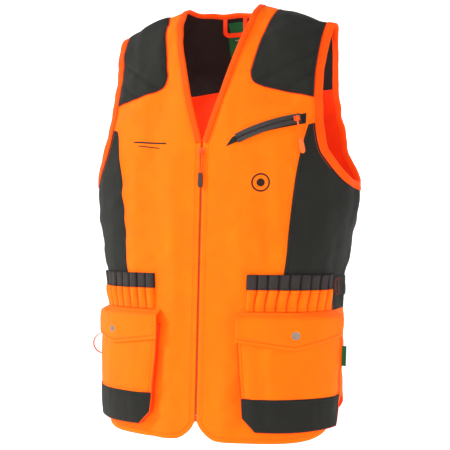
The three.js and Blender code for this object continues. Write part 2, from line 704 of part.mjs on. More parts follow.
const liningHalf = [
  [0, yokeSeam - 14],
  [30, yokeSeam - 32],
  ...shifted(armFrom(armBack, (_, run) => run > RIDGE_HEIGHT + 8 && run < yokeSeam - 40), 1, false)
    .reverse(),
  [NECK_TURN + 1, RIDGE_HEIGHT + 8],
  ...shifted(neckBack.filter(([, run]) => run > RIDGE_HEIGHT + 9), -1, false),
];
add("back_yoke_lining", layer(wholeBack(liningHalf), UNDER - TRIM, UNDER), cloth(DARK));

const FACING_START = ZIP_EDGE + TAPE_WIDTH + 3;
const FACING_WIDTH = 34;
const facingInner = [
  [turnAtX(FACING_START, ZIP_BOTTOM), ZIP_BOTTOM + 4],
  [turnAtX(FACING_START, NECK_HEIGHT), NECK_HEIGHT + 4],
  ...shifted(neckFront.filter(([, run]) => run > NECK_HEIGHT + 60 && run < seamRun - 20), -2, false),
];
addBoth("front_facing", strip(facingInner, -FACING_WIDTH).reverse(), UNDER - TRIM, UNDER, ORANGE);

// ---------- the centre zip ----------

const ZIP_TOP = NECK_HEIGHT - SLIDER_LENGTH - 2; // the teeth end under the closed slider
const zipStrip = (from, to, low, high) => [
  [centreTurn(low, from), low], [centreTurn(low, to), low],
  [centreTurn(high, to), high], [centreTurn(high, from), high],
];
const TOOTH_TOP = -CLOTH - 0.1;
const tapeStart = TOOTH_OUTER + SEAM;
addBoth("zip_tape", zipStrip(tapeStart, tapeStart + TAPE_WIDTH, ZIP_BOTTOM, NECK_HEIGHT - 3),
  UNDER - TAPE_THICKNESS, UNDER, ORANGE);
addBoth("zip_teeth", zipStrip(TOOTH_INNER, TOOTH_OUTER, ZIP_BOTTOM + BOX_HEIGHT + LAYER, ZIP_TOP),
  TOOTH_TOP - TOOTH_THICKNESS, TOOTH_TOP, ORANGE);
addBoth("zip_stop", zipStrip(TOOTH_INNER, TOOTH_OUTER, NECK_HEIGHT - 5.5, NECK_HEIGHT - 3.5),
  TOOTH_TOP - TOOTH_THICKNESS, TOOTH_TOP, ORANGE);
add("zip_box", layer(zipStrip(-TOOTH_OUTER, -0.3, ZIP_BOTTOM, ZIP_BOTTOM + BOX_HEIGHT),
  TOOTH_TOP - TOOTH_THICKNESS - 0.6, TOOTH_TOP), cloth(ORANGE, 0.5));
add("zip_pin", layer(zipStrip(0.3, TOOTH_OUTER, ZIP_BOTTOM, ZIP_BOTTOM + BOX_HEIGHT),
  TOOTH_TOP - TOOTH_THICKNESS, TOOTH_TOP), cloth(ORANGE, 0.5));

// A slider: two plates joined by a bridge between the rows, with an arched bail in front.
// Y is the way it closes, Z faces out, and z = 0 is the middle of the teeth.
const BAIL_WIRE = 1.3;
const CORD_GAP = 0.4;
const BAIL_ROOM = CORD_DIAMETER + 2 * CORD_GAP; // clear height under the bail
function slider(width, length, frontRise, thickness) {
  const half = thickness / 2 + RUNNING_GAP;
  const base = half + frontRise + PLATE;
  const reach = length * 0.27;
  const pieces = [
    box(width, length, PLATE, 0, 0, base - PLATE / 2),
    box(width, length, PLATE, 0, 0, -half - PLATE / 2),
    box(2 * TOOTH_INNER - 0.7, length * 0.3, 2 * half + 1, 0, length * 0.3, 0),
    box(BAIL_WIRE, 2 * reach + BAIL_WIRE, BAIL_WIRE, 0, 0, base + BAIL_ROOM + BAIL_WIRE / 2),
  ];
  for (const end of [-reach, reach]) {
    pieces.push(box(BAIL_WIRE, BAIL_WIRE, BAIL_ROOM + 0.8, 0, end, base + BAIL_ROOM / 2));
  }
  if (frontRise > 0) {
    pieces.push(box(2 * TOOTH_OUTER - 1.2, length, frontRise + 0.4, 0, 0, half + frontRise / 2 + 0.2));
  }
  return joined(...pieces);
}
// The pull: a cord looped through the bail, and a moulded tip below it. Y is up, Z is out, and
// the origin is the point that it swings about.
const STRAND = CORD_DIAMETER / 2 + 0.15; // half the distance between the two strands at the tip
const LOOP_HALF = BAIL_WIRE / 2 + CORD_DIAMETER / 2 + 0.5; // the same beside the bail
function pullCord(length) {
  const side = [[-STRAND, -length], [-STRAND - 0.1, -length * 0.75], [-LOOP_HALF, -length * 0.4],
    [-LOOP_HALF, -length * 0.16], [-LOOP_HALF * 0.85, -0.9]];
  const back = side.map(([x, y]) => [-x, y]).reverse();
  return cord([...side, [0, 0.35], ...back].map(([x, y]) => [x, y, 0]), CORD_DIAMETER, 20);
}
function pullTip(length, top) {
  const outline = new THREE.Shape();
  const half = PULL_TIP_WIDTH / 2;
  outline.moveTo(-half * 0.8, 0);
  outline.lineTo(-half, -length * 0.7);
  outline.quadraticCurveTo(-half, -length, 0, -length);
  outline.quadraticCurveTo(half, -length, half, -length * 0.7);
  outline.lineTo(half * 0.8, 0);
  const bevel = { depth: 2.2, bevelThickness: 0.7, bevelSize: 0.7, bevelOffset: -0.7, bevelSegments: 1 };
  return new THREE.ExtrudeGeometry(outline, { ...bevel, curveSegments: 4 })
    .translate(0, top - SEAM, -1.1);
}
const bailCentre = (frontRise, thickness) =>
  thickness / 2 + RUNNING_GAP + frontRise + PLATE + BAIL_ROOM / 2;
const teethMiddle = TOOTH_TOP - TOOTH_THICKNESS / 2;
const frontRise = CLOTH + OVER + 0.4 - RUNNING_GAP;
const mainRun = NECK_HEIGHT - SLIDER_LENGTH / 2 - 7;
const mainFrame = frameAt(0, mainRun, teethMiddle);
add("zip_slider", slider(SLIDER_WIDTH, SLIDER_LENGTH, frontRise, TOOTH_THICKNESS)
  .applyMatrix4(mainFrame), cloth(ORANGE, 0.4, 0.2));
const mainPull = mainFrame.clone()
  .multiply(new THREE.Matrix4().makeTranslation(0, 0, bailCentre(frontRise, TOOTH_THICKNESS)));
add("zip_pull_cord", pullCord(PULL_CORD_LENGTH).applyMatrix4(mainPull), cloth(ORANGE));
add("zip_pull_tip", pullTip(PULL_TIP_LENGTH, -PULL_CORD_LENGTH).applyMatrix4(mainPull),
  cloth(0x2a1512, 0.5));

// ---------- the chest pocket: welt, zip on an arc round the chest, and bag ----------

const onChest = ([x, up]) => onFront(x, NECK_HEIGHT + up);
const raised = ([x, up], by) => [x, up + by];
const welt = [
  WELT_START, WELT_MIDDLE, WELT_END, raised(WELT_END, WELT_HEIGHT), raised(WELT_MIDDLE, WELT_HEIGHT - 3),
  [WELT_START[0] + 10, WELT_START[1] + 15],
].map(onChest);
add("chest_welt", layer(welt, OVER, OVER + TRIM), cloth(DARK));

const zipStart = [WELT_START[0] + 18, WELT_START[1] + 13];
const zipMiddle = raised(WELT_MIDDLE, 8);
const zipEnd = [WELT_END[0] - 7, WELT_END[1] + 8];
const [arcStart, arcMiddle, arcEnd] = [zipStart, zipMiddle, zipEnd]
  .map((point) => place(...onChest(point), CHEST_ZIP_LEVEL));
const arc = circleThrough(arcStart, arcMiddle, arcEnd);

// The circle through three points: its middle, its radius and the frame whose X meets the first.
function circleThrough(a, b, c) {
  const [u, v] = [b.clone().sub(a), c.clone().sub(a)];
  const axis = u.clone().cross(v);
  const middle = axis.clone().cross(u).multiplyScalar(v.lengthSq())
    .add(v.clone().cross(axis).multiplyScalar(u.lengthSq()))
    .divideScalar(2 * axis.lengthSq()).add(a);
  axis.normalize();
  const across = a.clone().sub(middle).normalize();
  const ahead = axis.clone().cross(across);
  const end = c.clone().sub(middle);
  return {
    middle, axis, radius: a.distanceTo(middle), sweep: Math.atan2(end.dot(ahead), end.dot(across)),
    frame: new THREE.Matrix4().makeBasis(across, ahead, axis).setPosition(middle),
  };
}
// The zip's band leans with the chest: its own way out, as a share of the arc's radius and axis.
const chestNormal = clothNormal(...onChest(zipMiddle));
const chestLean = Math.atan2(
  chestNormal.dot(arc.axis), chestNormal.dot(arcMiddle.clone().sub(arc.middle).normalize()),
);
const ARC_STEPS = 14;
// A bar bent round the arc, of a section given as [out of the chest, across the zip] points.
function arcBar(section, side) {
  const positions = [];
  const [sine, cosine] = [Math.sin(chestLean), Math.cos(chestLean)];
  const outline = side > 0 ? section.slice().reverse() : section.map(([out, across]) => [out, -across]);
  for (let i = 0; i <= ARC_STEPS; i += 1) {
    const angle = (arc.sweep * i) / ARC_STEPS;
    for (const [out, across] of outline) {
      const radius = arc.radius + out * cosine - across * sine;
      const point = new THREE.Vector3(
        radius * Math.cos(angle), radius * Math.sin(angle), out * sine + across * cosine,
      );
      positions.push(...point.applyMatrix4(arc.frame).toArray());
    }
  }
  const flat = outline.map(([out, across]) => new THREE.Vector2(out, across));
  const way = Math.sign(area(outline));
  const ends = THREE.ShapeUtils.triangulateShape(flat, [])
    .map(([a, b, c]) => {
      const same = Math.sign(area([outline[a], outline[b], outline[c]])) === way;
      return same ? [a, b, c] : [a, c, b];
    });
  return swept(positions, ARC_STEPS + 1, section.length, ends);
}
const lipStart = CHEST_SLIDER_WIDTH / 2 + RUNNING_GAP;
const tapeEnd = CHEST_TEETH_OUTER + CHEST_TAPE_WIDTH;
const lipDepth = CHEST_ZIP_LEVEL - OVER - TRIM - 1.3;
// The tape carries the row of teeth, and its edge is turned down to the welt it is sewn to.
const [halfTooth, halfTape] = [CHEST_TEETH_THICKNESS / 2, 0.35];
const tapeSection = [
  [halfTooth, TOOTH_INNER], [halfTooth, CHEST_TEETH_OUTER], [halfTape, CHEST_TEETH_OUTER],
  [halfTape, tapeEnd], [-lipDepth, tapeEnd], [-lipDepth, lipStart], [-halfTape, lipStart],
  [-halfTape, CHEST_TEETH_OUTER], [-halfTooth, CHEST_TEETH_OUTER], [-halfTooth, TOOTH_INNER],
];
for (const [name, side] of [["upper", 1], ["lower", -1]]) {
  add(`chest_zip_${name}`, arcBar(tapeSection, side), cloth(DARK, 0.6));
}
const chestRest = arc.sweep - (CHEST_SLIDER_LENGTH / 2 + 2) / arc.radius;
const onArc = new THREE.Matrix4().makeRotationZ(chestRest);
const outward = new THREE.Vector3(Math.cos(chestLean), 0, Math.sin(chestLean));
const along = new THREE.Vector3(0, 1, 0);
const upright = new THREE.Matrix4()
  .makeBasis(along.clone().cross(outward), along, outward).setPosition(arc.radius, 0, 0);
const chestFrame = arc.frame.clone().multiply(onArc).multiply(upright);
add("chest_slider", slider(CHEST_SLIDER_WIDTH, CHEST_SLIDER_LENGTH, 0, CHEST_TEETH_THICKNESS)
  .applyMatrix4(chestFrame), cloth(ORANGE, 0.4, 0.2));
// This pull loops round the bail's bar, so its two strands lie one behind the other.
const chestBar = bailCentre(0, CHEST_TEETH_THICKNESS) + BAIL_ROOM / 2 + BAIL_WIRE / 2;
const chestPullPoint = new THREE.Vector3(0, 0, chestBar).applyMatrix4(chestFrame);
const barDirection = new THREE.Vector3().setFromMatrixColumn(chestFrame, 1).normalize();
const lean = clothNormal(...onChest([zipEnd[0], zipEnd[1] - 45]));
const pullUp = lean.clone().cross(barDirection).normalize();
const pullOut = barDirection.clone().cross(pullUp).normalize();
const chestPull = new THREE.Matrix4().makeBasis(barDirection, pullUp, pullOut).setPosition(chestPullPoint);
add("chest_pull_cord", pullCordRound(PULL_CORD_LENGTH).rotateY(-Math.PI / 2).applyMatrix4(chestPull),
  cloth(ORANGE));
add("chest_pull_tip", pullTip(PULL_TIP_LENGTH, -PULL_CORD_LENGTH).applyMatrix4(chestPull),
  cloth(ORANGE, 0.6));
function pullCordRound(length) {
  const around = LOOP_HALF;
  const side = [[-STRAND, -length], [-STRAND - 0.1, -length * 0.7], [-around, -length * 0.35],
    [-around, -length * 0.12], [-around, 0], [-around * 0.74, around * 0.74]];
  const back = side.map(([x, y]) => [-x, y]).reverse();
  return cord([...side, [0, around * 1.04], ...back].map(([x, y]) => [x, y, 0]), CORD_DIAMETER, 22);
}
const bagTop = [WELT_START[0] + 8, WELT_END[0] - 22];
const bag = [
  [bagTop[0], 9 - POCKET_BAG_DROP], [bagTop[1] - 8, 26 - POCKET_BAG_DROP], [bagTop[1], 24],
  [bagTop[0] + 40, 14], [bagTop[0], 2],
].map(onChest);
add("chest_pocket_bag", layer(bag, UNDER - 2.2 * TRIM, UNDER - 1.4 * TRIM), cloth(0x8a2a10));

// ---------- the lower pockets ----------

const pocketEnd = POCKET_START + POCKET_WIDTH;
const pocketSide = (height) =>
  POCKET_START + POCKET_TAPER * THREE.MathUtils.clamp(
    (POCKET_TOP - height) / (POCKET_TOP - FOOT_CORNER), 0, 1);
// Heights where the outer edge has a corner, so that what is sewn to it lies along it.
const sideHeights = [90, SIDE_LABEL_BOTTOM, LEAD_LOOP_CENTRE, SIDE_LABEL_BOTTOM + SIDE_LABEL_HEIGHT];
// The pocket's edge from its inner top corner, down, along the foot and up to its outer top corner.
const pocketEdge = (top) => [
  round(pocketSide(top), top),
  round(pocketSide(FOOT_CORNER), FOOT_CORNER),
  round(POCKET_START + POCKET_TAPER + 20, POCKET_BOTTOM),
  round(POCKET_START + POCKET_WIDTH / 2, POCKET_BOTTOM - 1),
  round(pocketEnd - 9, POCKET_BOTTOM + 2),
  round(pocketEnd, POCKET_BOTTOM + 26),
  ...sideHeights.filter((height) => height < top).map((height) => round(pocketEnd, height)),
  round(pocketEnd, top),
];
const FACE = 1.2; // thickness of the pocket's face
addBoth("pocket_gusset", strip(pocketEdge(POCKET_TOP - 1), 1.4), OVER, POCKET_DEPTH - FACE - SEAM, ORANGE);
addBoth("pocket_face", pocketEdge(POCKET_TOP), POCKET_DEPTH - FACE, POCKET_DEPTH, ORANGE);
addBoth("pocket_patch", pocketEdge(POCKET_BOTTOM + POCKET_PATCH_HEIGHT), POCKET_DEPTH + LAYER,
  POCKET_DEPTH + LAYER + TRIM, DARK);

const flapFoot = FLAP_TOP - FLAP_DROP_POINT;
const flapPoint = POCKET_START + POCKET_WIDTH * FLAP_POINT_PLACE;
const flapStart = POCKET_START - FLAP_OVERHANG;
const flapEnd = pocketEnd + FLAP_OVERHANG;
const flapUnder = POCKET_DEPTH + FLAP_STANDOFF;
// The flap is sewn down along its top; that part leads out over the pocket's mouth to the fold.
const lift = (turn, height) => THREE.MathUtils.mapLinear(height, FLAP_TOP, FLAP_FOLD, OVER, flapUnder);
addBoth("flap_header", [
  round(flapStart + 0.5, FLAP_FOLD + SEAM / 2), round(flapEnd - 0.5, FLAP_FOLD + SEAM / 2),
  round(pocketEnd - 1, FLAP_TOP - 0.6), round(POCKET_START, FLAP_TOP - 0.6),
], lift, (turn, height) => lift(turn, height) + FLAP_THICKNESS, ORANGE);
addBoth("pocket_flap", [
  round(flapStart, FLAP_TOP - FLAP_DROP_INNER), round(flapPoint, flapFoot),
  round(flapEnd, FLAP_TOP - FLAP_DROP_OUTER), round(flapEnd - 0.5, FLAP_FOLD - FOLD_GAP),
  round(flapStart + 0.5, FLAP_FOLD - FOLD_GAP),
], flapUnder, flapUnder + FLAP_THICKNESS, ORANGE);

// The snap: a domed cap outside the flap, a socket ring under it and a stud on the pocket.
const snapHeight = flapFoot + SNAP_UP;
const domedCap = [[0, 0], [SNAP_RADIUS - 0.6, 0], [SNAP_RADIUS, 0.5], [SNAP_RADIUS - 0.8, 1.4],
  [SNAP_RADIUS * 0.55, 2], [0, 2.2]];
const SOCKET_HEIGHT = 1.1;
const socketRing = [[3, 0], [6, 0], [6, SOCKET_HEIGHT], [3, SOCKET_HEIGHT], [3, 0]];
const stud = [[0, 0], [5.5, 0], [5.5, 0.7], [2.1, 0.7], [1.8, 1.9], [0, 2]];
for (const [side, sign] of [["left", 1], ["right", -1]]) {
  const turn = sign * turnAround(flapPoint, snapHeight);
  const metal = () => cloth(0x6f6a60, 0.35, 0.9);
  // The form's facets lie a little inside its curve, so each piece is set from the facets.
  const sink = clothPoint(turn, snapHeight).sub(place(turn, snapHeight)).dot(clothNormal(turn, snapHeight));
  const pieces = [
    ["snap_cap", domedCap, flapUnder + FLAP_THICKNESS + LAYER], ["snap_stud", stud, POCKET_DEPTH + LAYER],
    ["snap_socket", socketRing, flapUnder - LAYER - SOCKET_HEIGHT],
  ];
  for (const [name, rows, over] of pieces) {
    add(`${name}_${side}`, turned(rows).applyMatrix4(frameAt(turn, snapHeight, over - sink)), metal());
  }
}

// ---------- cartridge loops, pleats and waist elastic ----------

const LOOP_STEPS = [[0, 0], [0.13, 0.45], [0.3, 0.88], [0.5, 1], [0.7, 0.88], [0.87, 0.45]];
// One station for each step of each loop, mirrored for the wearer's right.
function loopStations(sign, height, rise, thickness) {
  const stations = [];
  for (let i = 0; i <= LOOP_COUNT; i += 1) {
    for (const [share, bulge] of i < LOOP_COUNT ? LOOP_STEPS : LOOP_STEPS.slice(0, 1)) {
      const turn = sign * turnAround(BAND_START + (i + share) * LOOP_PITCH, height);
      const inner = (fullness) => OVER + rise * bulge * fullness;
      stations.push({ turn, inner, outer: (fullness) => inner(fullness) + thickness });
    }
  }
  return sign > 0 ? stations : stations.reverse();
}
const bandTop = BAND_BOTTOM + BAND_HEIGHT;
for (const [side, sign] of [["left", 1], ["right", -1]]) {
  const loops = loopStations(sign, BAND_BOTTOM, LOOP_SLACK, 1.2);
  add(`cartridge_band_${side}`, wave(loops, BAND_BOTTOM, bandTop), cloth(0x463e3c));
  const pleats = loopStations(sign, FLAP_TOP, PLEAT_DEPTH, TRIM);
  // The pleats stand out under the band and are pressed flatter towards the flap's seam.
  const fullness = (height) => (height > FLAP_TOP + 10 ? 1 : 0.35);
  add(`cartridge_pleats_${side}`, wave(pleats, FLAP_TOP + 0.5, BAND_BOTTOM - 0.5, fullness),
    cloth(ORANGE));
}
const elasticFrom = BAND_START + BAND_LENGTH + ELASTIC_START;
addBoth("waist_elastic", [
  round(elasticFrom, ELASTIC_BOTTOM), round(elasticFrom + ELASTIC_LENGTH, ELASTIC_BOTTOM),
  round(elasticFrom + ELASTIC_LENGTH, ELASTIC_BOTTOM + ELASTIC_HEIGHT),
  round(elasticFrom, ELASTIC_BOTTOM + ELASTIC_HEIGHT),
], OVER, OVER + 2, DARK);

// ---------- loops and labels ----------

// A folded ribbon sewn into the right pocket's outer edge, standing out from it.
const leadCentre = -(pocketEnd + RIBBON_WIDTH / 2 + LAYER);
const ribbonRoot = 4;
const [loopHalfReach, loopHalfHeight] = [LEAD_LOOP_REACH / 2, LEAD_LOOP_HEIGHT / 2];
const loopMiddle = ribbonRoot + loopHalfReach;
const ribbon = new THREE.Shape();
ribbon.absellipse(loopMiddle, 0, loopHalfReach, loopHalfHeight, 0, 2 * Math.PI);
const inside = new THREE.Path();
inside.absellipse(loopMiddle, 0, loopHalfReach - RIBBON, loopHalfHeight - RIBBON, 0, 2 * Math.PI, true);
ribbon.holes.push(inside);
const ribbonWide = { depth: RIBBON_WIDTH, bevelEnabled: false, curveSegments: 14 };
const leadFrame = frameAt(turnAround(leadCentre, LEAD_LOOP_CENTRE), LEAD_LOOP_CENTRE);
add("lead_loop", new THREE.ExtrudeGeometry(ribbon, ribbonWide)
  .translate(0, 0, -RIBBON_WIDTH / 2).rotateY(-Math.PI / 2).applyMatrix4(leadFrame), cloth(ORANGE));

// A folded label sewn into the left pocket's outer edge.
const labelTop = SIDE_LABEL_BOTTOM + SIDE_LABEL_HEIGHT;
const labelEdge = [SIDE_LABEL_BOTTOM, labelTop]
  .map((height) => [LAYER, LAYER + 2 * LABEL].map((gap) => round(pocketEnd + gap, height)));
add("side_label", layer([...labelEdge[0], labelEdge[1][1], labelEdge[1][0]], 5, POCKET_DEPTH + 8),
  cloth(GREEN));

const neckEdge = RIDGE_HEIGHT + BACK_NECK_DROP;
// The loop's upper outer corners are sewn just inside the yoke lining, where it curves forward.
const hangerCorner = place(turnAtX(HANGER_WIDTH / 2, neckEdge + 6), neckEdge + 6, UNDER - TRIM - 0.6);
const hanger = new THREE.Shape();
const [outerHalf, innerHalf] = [HANGER_WIDTH / 2, HANGER_WIDTH / 2 - LOOP_WEBBING];
const innerFoot = -HANGER_DROP + LOOP_WEBBING;
hanger.moveTo(-outerHalf, 0);
hanger.lineTo(-outerHalf, -HANGER_DROP + 12);
hanger.quadraticCurveTo(-outerHalf, -HANGER_DROP, -outerHalf + 12, -HANGER_DROP);
hanger.lineTo(outerHalf - 12, -HANGER_DROP);
hanger.quadraticCurveTo(outerHalf, -HANGER_DROP, outerHalf, -HANGER_DROP + 12);
hanger.lineTo(outerHalf, 0);
hanger.lineTo(innerHalf, 0);
hanger.lineTo(innerHalf, innerFoot + 5);
hanger.quadraticCurveTo(innerHalf, innerFoot, innerHalf - 5, innerFoot);
hanger.lineTo(-innerHalf + 5, innerFoot);
hanger.quadraticCurveTo(-innerHalf, innerFoot, -innerHalf, innerFoot + 5);
hanger.lineTo(-innerHalf, 0);
const webbing = { depth: RIBBON, bevelEnabled: false, curveSegments: 4 };
add("hanger_loop", new THREE.ExtrudeGeometry(hanger, webbing)
  .rotateX(Math.PI / 2).translate(0, hangerCorner.y, hangerCorner.z), cloth(0xf04a10));

function backLabel(name, half, from, to) {
  const across = (run, x) => [turnAtX(x, run), run];
  const [near, far] = [neckEdge + from, neckEdge + to];
  add(name, layer([across(near, -half), across(near, half), across(far, half), across(far, -half)],
    UNDER - TRIM - LAYER - LABEL, UNDER - TRIM - LAYER), cloth(GREEN));
}
backLabel("neck_label", 17, 14, 42);
backLabel("size_label", 22, 43, 80);

export default vest;
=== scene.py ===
"""A high-visibility shooting vest in detailed cloth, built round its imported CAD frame.

Every cloth piece is cut on one surface, the body form: a place on it is a turn in degrees from the
centre front (the wearer's left is positive) and a run in millimetres, up the front, over the shoulder
ridge and down the back. Pieces are offset from that surface, so that layers lie on each other.
"""

import math

import bpy
import numpy as np
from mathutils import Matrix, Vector
from mathutils.geometry import delaunay_2d_cdt


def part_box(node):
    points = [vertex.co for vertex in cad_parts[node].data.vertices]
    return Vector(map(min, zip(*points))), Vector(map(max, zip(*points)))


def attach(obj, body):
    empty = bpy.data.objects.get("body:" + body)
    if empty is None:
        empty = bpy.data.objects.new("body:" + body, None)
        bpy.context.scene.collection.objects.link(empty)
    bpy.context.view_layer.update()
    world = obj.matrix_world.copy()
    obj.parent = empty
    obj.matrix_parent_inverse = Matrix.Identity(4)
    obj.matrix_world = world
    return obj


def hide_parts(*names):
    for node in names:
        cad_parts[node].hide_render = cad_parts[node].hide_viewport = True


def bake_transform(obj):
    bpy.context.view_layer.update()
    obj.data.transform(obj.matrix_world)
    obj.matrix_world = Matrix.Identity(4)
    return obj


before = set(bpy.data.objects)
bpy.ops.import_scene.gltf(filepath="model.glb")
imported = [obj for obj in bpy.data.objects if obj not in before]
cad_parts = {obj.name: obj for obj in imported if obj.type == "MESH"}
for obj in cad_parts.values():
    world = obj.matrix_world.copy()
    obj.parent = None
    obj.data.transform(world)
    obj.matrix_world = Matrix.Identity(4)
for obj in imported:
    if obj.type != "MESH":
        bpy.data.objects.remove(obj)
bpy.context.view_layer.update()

bl_info = {
    "name": "Shooting vest",
    "version": (1, 0, 0),
    "blender": (4, 5, 0),
    "location": "3D View > Sidebar > Vest",
    "description": "Builds a shooting vest in cloth round its CAD frame",
    "category": "Object",
}

MM = 0.001

# ---------- the cut, in millimetres and degrees: the same values as the CAD part ----------

RIDGE = 735
SHOULDER_RISE = 265
YOKE_START = RIDGE - SHOULDER_RISE
FULL_RUN = 2 * RIDGE
SHOULDER_SLOPE = 0.336
NECK_ROUNDING = 30
RIDGE_BACKSET = 12
SQUARENESS = 0.03
NECK_HEIGHT = 476
NECK_DEPTH = RIDGE - NECK_HEIGHT
ARMHOLE_DEPTH = 322
ARMHOLE_HEIGHT = RIDGE - ARMHOLE_DEPTH
NECK_TURN = 15.5
ARM_TURN = 63
BACK_NECK_DROP = 49
SIDE_SEAM_TURN = 90
BACK_SEAM_TURN = 105
SEAM_RUN = RIDGE - 18
YOKE_SEAM = RIDGE + 165
VENT_HEIGHT = 64
CHEST_HEIGHT = 430
SIDE_TIP = ARMHOLE_HEIGHT + 0.29 * ARMHOLE_DEPTH

CLOTH = 1.6
LAYER = 0.4
OVER = LAYER
UNDER = -CLOTH - LAYER
TRIM = 1.0
NECK_BINDING = 9
ARM_BINDING = 12

ZIP_BOTTOM = 30
BOX_HEIGHT = 9.6
SLIDER_LENGTH = 13
TOOTH_OUTER = 3.2
TAPE_WIDTH = 12

FLAP_TOP = 206
FLAP_ALLOWANCE = 10
FLAP_FOLD = FLAP_TOP - FLAP_ALLOWANCE
POCKET_TOP = 184
POCKET_BOTTOM = 20
FOOT_CORNER = POCKET_BOTTOM + 21
POCKET_START = 67
POCKET_END = POCKET_START + 176
POCKET_TAPER = 11
POCKET_DEPTH = 12
PATCH_TOP = POCKET_BOTTOM + 51
FLAP_INNER_FOOT = FLAP_TOP - 47
FLAP_OUTER_FOOT = FLAP_TOP - 40
FLAP_POINT = FLAP_TOP - 60
FLAP_MIDDLE = POCKET_START + 88
FLAP_OVERHANG = 1.5
FLAP_OVER = POCKET_DEPTH + 3

BAND_BOTTOM = 241
BAND_HEIGHT = 24
BAND_START = 80
LOOP_COUNT = 9
LOOP_PITCH = 17
ELASTIC_START = BAND_START + LOOP_COUNT * LOOP_PITCH + 4
ELASTIC_LENGTH = 84
ELASTIC_BOTTOM = 227
ELASTIC_HEIGHT = 33

WELT_START = (42, -6)
WELT_MIDDLE = (101, 16)
WELT_END = (166, 30)
WELT_HEIGHT = 17
CHEST_ZIP_LEVEL = 4.8

CORD_DIAMETER = 2.2
LEAD_LOOP_CENTRE = 134
SIDE_LABEL_BOTTOM = 116
SIDE_LABEL_HEIGHT = 32
WEBBING = 8


# ---------- the body form ----------

def through(rows):
    """A smooth curve through (height, value) rows."""
    heights, values = np.array(rows, float).T
    slopes = np.empty(len(rows))
    slopes[1:-1] = (values[2:] - values[:-2]) / (heights[2:] - heights[:-2])
    slopes[0] = (values[1] - values[0]) / (heights[1] - heights[0])
    slopes[-1] = (values[-1] - values[-2]) / (heights[-1] - heights[-2])

    def value(height):
        i = np.clip(np.searchsorted(heights, height, side="right") - 1, 0, len(rows) - 2)
        span = heights[i + 1] - heights[i]
        t = np.clip((height - heights[i]) / span, 0, 1)
        rise = t * t * (3 - 2 * t)
        bend = slopes[i] * t * (1 - t) ** 2 - slopes[i + 1] * t * t * (1 - t)
        return values[i] * (1 - rise) + values[i + 1] * rise + bend * span

    return value


half_width = through([(0, 204), (97.6, 206), (244, 208), (309, 219.25), (378, 230), (430, 233),
                      (500, 225), (570, 213.8), (736, 213.8)])
back_depth = through([(0, 109), (97.6, 111), (244, 106), (378, 117.9), (430, 120), (500, 114.4),
                      (736, 114.4)])


def front_depth(height):
    return 140 - 30 / NECK_HEIGHT * height


def step(low, high, value):
    """0 below low, 1 above high, smooth between them."""
    t = np.clip((np.asarray(value, float) - low) / (high - low), 0, 1)
    return t * t * (3 - 2 * t)


def ring(turn, height):
    closing = np.clip((height - YOKE_START) / SHOULDER_RISE, 0, 1) * math.pi / 2
    narrowing = np.maximum(np.cos(closing), 0) ** 0.8
    angle = np.radians(turn)
    wide = (np.sin(angle) + SQUARENESS * np.sin(3 * angle)) / (1 - SQUARENESS)
    deep = (np.cos(angle) - SQUARENESS * np.cos(3 * angle)) / (1 - SQUARENESS)
    x = half_width(height) * wide
    depth = np.where(np.cos(angle) > 0, front_depth(height), back_depth(height))
    y = RIDGE_BACKSET * np.sin(closing) - depth * narrowing * deep
    z = np.where(height > YOKE_START, YOKE_START + SHOULDER_RISE * np.sin(closing), height)
    fall = SHOULDER_SLOPE * (np.hypot(x, NECK_ROUNDING) - NECK_ROUNDING)
    return np.stack([x, y, z - step(YOKE_START - 60, RIDGE, z) * fall], axis=-1)


def surface(turn, run):
    """Points of the body form."""
    turn, run = np.broadcast_arrays(np.asarray(turn, float), np.asarray(run, float))
    behind = run > RIDGE
    return ring(np.where(behind, 180 - turn, turn), np.where(behind, FULL_RUN - run, run))


def slopes(turn, run, probe=0.4):
    by_turn = (surface(turn + probe, run) - surface(turn - probe, run)) / (2 * probe)
    by_run = (surface(turn, run + probe) - surface(turn, run - probe)) / (2 * probe)
    return by_turn, by_run


def unit(vectors):
    return vectors / np.maximum(np.linalg.norm(vectors, axis=-1, keepdims=True), 1e-9)


def normals(turn, run):
    return unit(np.cross(*slopes(turn, run)))


def noise(points, seed, size=32):
    """Smooth noise from -1 to 1 with one hill or hollow to each unit of space."""
    grid = np.random.RandomState(seed).uniform(-1, 1, (size, size, size))
    cell = np.floor(points).astype(int)
    part = points - cell
    part = part * part * (3 - 2 * part)
    total = 0
    for i, j, k in np.ndindex(2, 2, 2):
        share = [part[..., n] if step_on else 1 - part[..., n] for n, step_on in enumerate((i, j, k))]
        corner = grid[tuple((cell[..., n] + step_on) % size for n, step_on in enumerate((i, j, k)))]
        total = total + corner * share[0] * share[1] * share[2]
    return total


TURN_MM = 3.7  # millimetres round the body in one degree of turn, near enough for the weave


